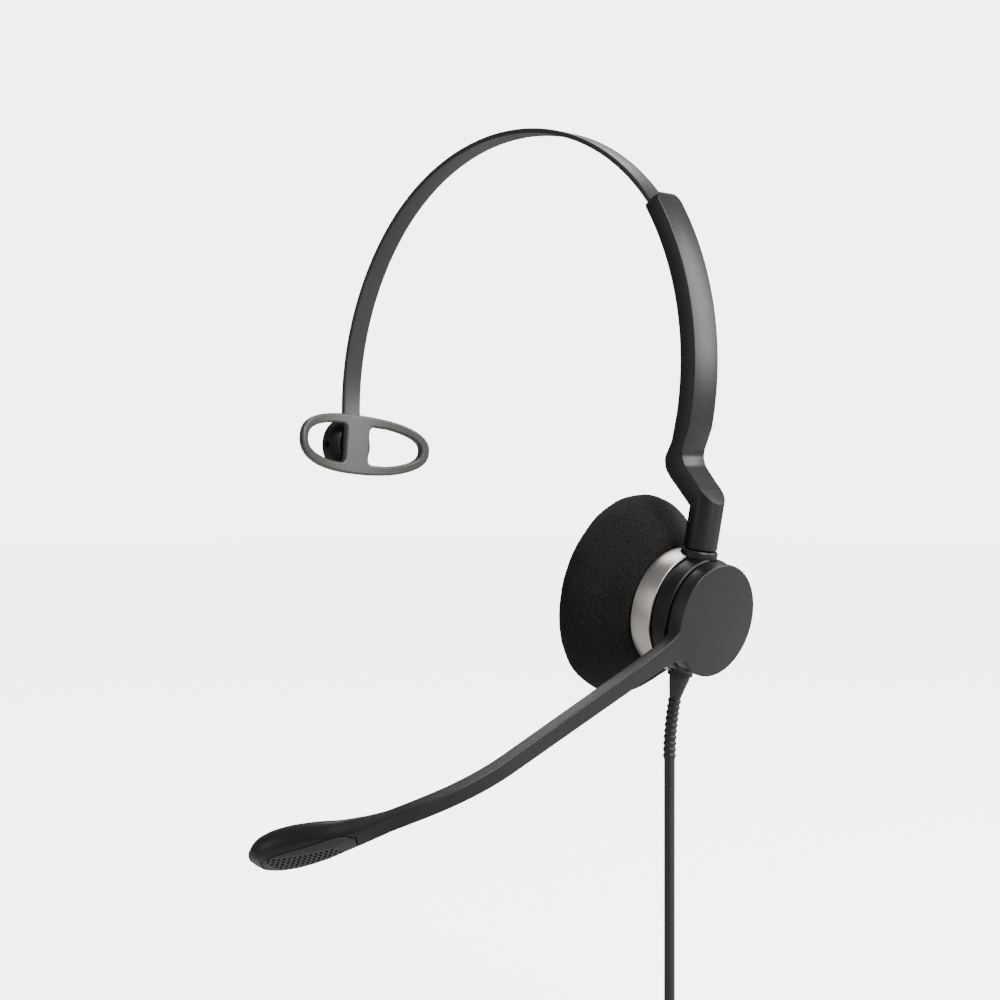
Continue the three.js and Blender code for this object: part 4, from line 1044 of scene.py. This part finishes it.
for name, cad, side in (("plug_lower", "plug_shell_lower", -1),
                        ("plug_upper", "plug_shell_upper", 1)):
    low, high = sorted((side * 0.1, side * 4.5))
    shell = eased_mesh(box_mesh((-40, -6.5, low), (0, 6.5, high), in_plug), 0.9, 4)
    tools = [box_mesh((-41, -5.2, -3.2), (-1.3, 5.2, 3.2), in_plug)]
    for radius, reach in ((2.8, 4.0), (3.4, 1.45)):
        tools.append(lathe([(0, -reach), (radius, -reach), (radius, reach), (0, reach)],
                           round_plug, 48))
    low, high = sorted((side * 4.15, side * 5.5))
    for groove in (-12.5 - 1.9 * i for i in range(5)):
        tools.append(box_mesh((groove - 0.45, -4.6, low), (groove + 0.45, 4.6, high), in_plug))
    plug_pieces.append(piece(name, tidy(combine(shell, tools), 32), "ear_cup", [cad],
                             black_plastic))
plug_relief = lathe(eased([(0, 8), (1.8, 8), (2.1, 6.6), (1.9, 6.3), (1.9, 5.7), (2.45, 5.2),
                           (2.2, 4.7), (2.2, 4.1), (2.8, 3.5), (2.5, 3.0), (2.5, 2.4), (3.2, 1.6),
                           (3.2, -1.2), (2.6, -1.4), (2.6, -3), (0, -3)], 0.2), round_plug, 64)
plug_pieces.append(piece("plug_bend_relief", tidy(plug_relief), "ear_cup", ["plug_relief"],
                         rubber))

# ---- Small parts inside ----
# The parts that show only when the headset is opened keep their plain shapes: pressed steel and
# brass, a ferrite magnet, a copper coil, a film cone, a lacquered board, felt and foam pads.
inner_finishes = {  # dark and light tones, gloss, relief, metal, grain
    "spring_steel": ((0.42, 0.42, 0.43), (0.52, 0.52, 0.53), 0.3, 0.04, 1.0, 900.0),
    "ferrite": ((0.03, 0.03, 0.032), (0.05, 0.05, 0.052), 0.55, 0.2, 0.0, 1500.0),
    "frame_plastic": ((0.02, 0.02, 0.021), (0.028, 0.028, 0.029), 0.5, 0.1, 0.0, 2200.0),
    "copper": ((0.50, 0.22, 0.10), (0.62, 0.30, 0.15), 0.32, 0.15, 1.0, 5200.0),
    "film": ((0.50, 0.44, 0.32), (0.58, 0.52, 0.39), 0.35, 0.05, 0.0, 700.0),
    "board": ((0.010, 0.045, 0.018), (0.016, 0.065, 0.026), 0.35, 0.08, 0.0, 1200.0),
    "felt": ((0.010, 0.010, 0.010), (0.035, 0.035, 0.034), 0.95, 0.9, 0.0, 2400.0),
    "foam": ((0.004, 0.004, 0.004), (0.02, 0.02, 0.019), 0.95, 1.0, 0.0, 1300.0),
    "clamp_nylon": ((0.60, 0.60, 0.57), (0.68, 0.68, 0.65), 0.4, 0.05, 0.0, 1500.0),
    "brass_contact": ((0.62, 0.42, 0.16), (0.72, 0.52, 0.22), 0.22, 0.03, 1.0, 2500.0)}
inner = {name: finish_of("inner_" + name, *values) for name, values in inner_finishes.items()}
inner.update(black_plastic=black_plastic, satin_plastic=arm_plastic, band_plastic=band_plastic,
             tie_fabric=tie_weave, satin_metal=satin_metal, soft_rubber=rubber, cord_jacket=jacket)
for part in frame["record"]["subparts"]:
    cad = nodes[part["node"]]
    cad.data.materials.clear()
    cad.data.materials.append(inner[part["material_slot"]])
plug_pieces += [nodes["plug_tongue"], *(nodes[f"plug_contact_{i}"] for i in range(1, 5))]
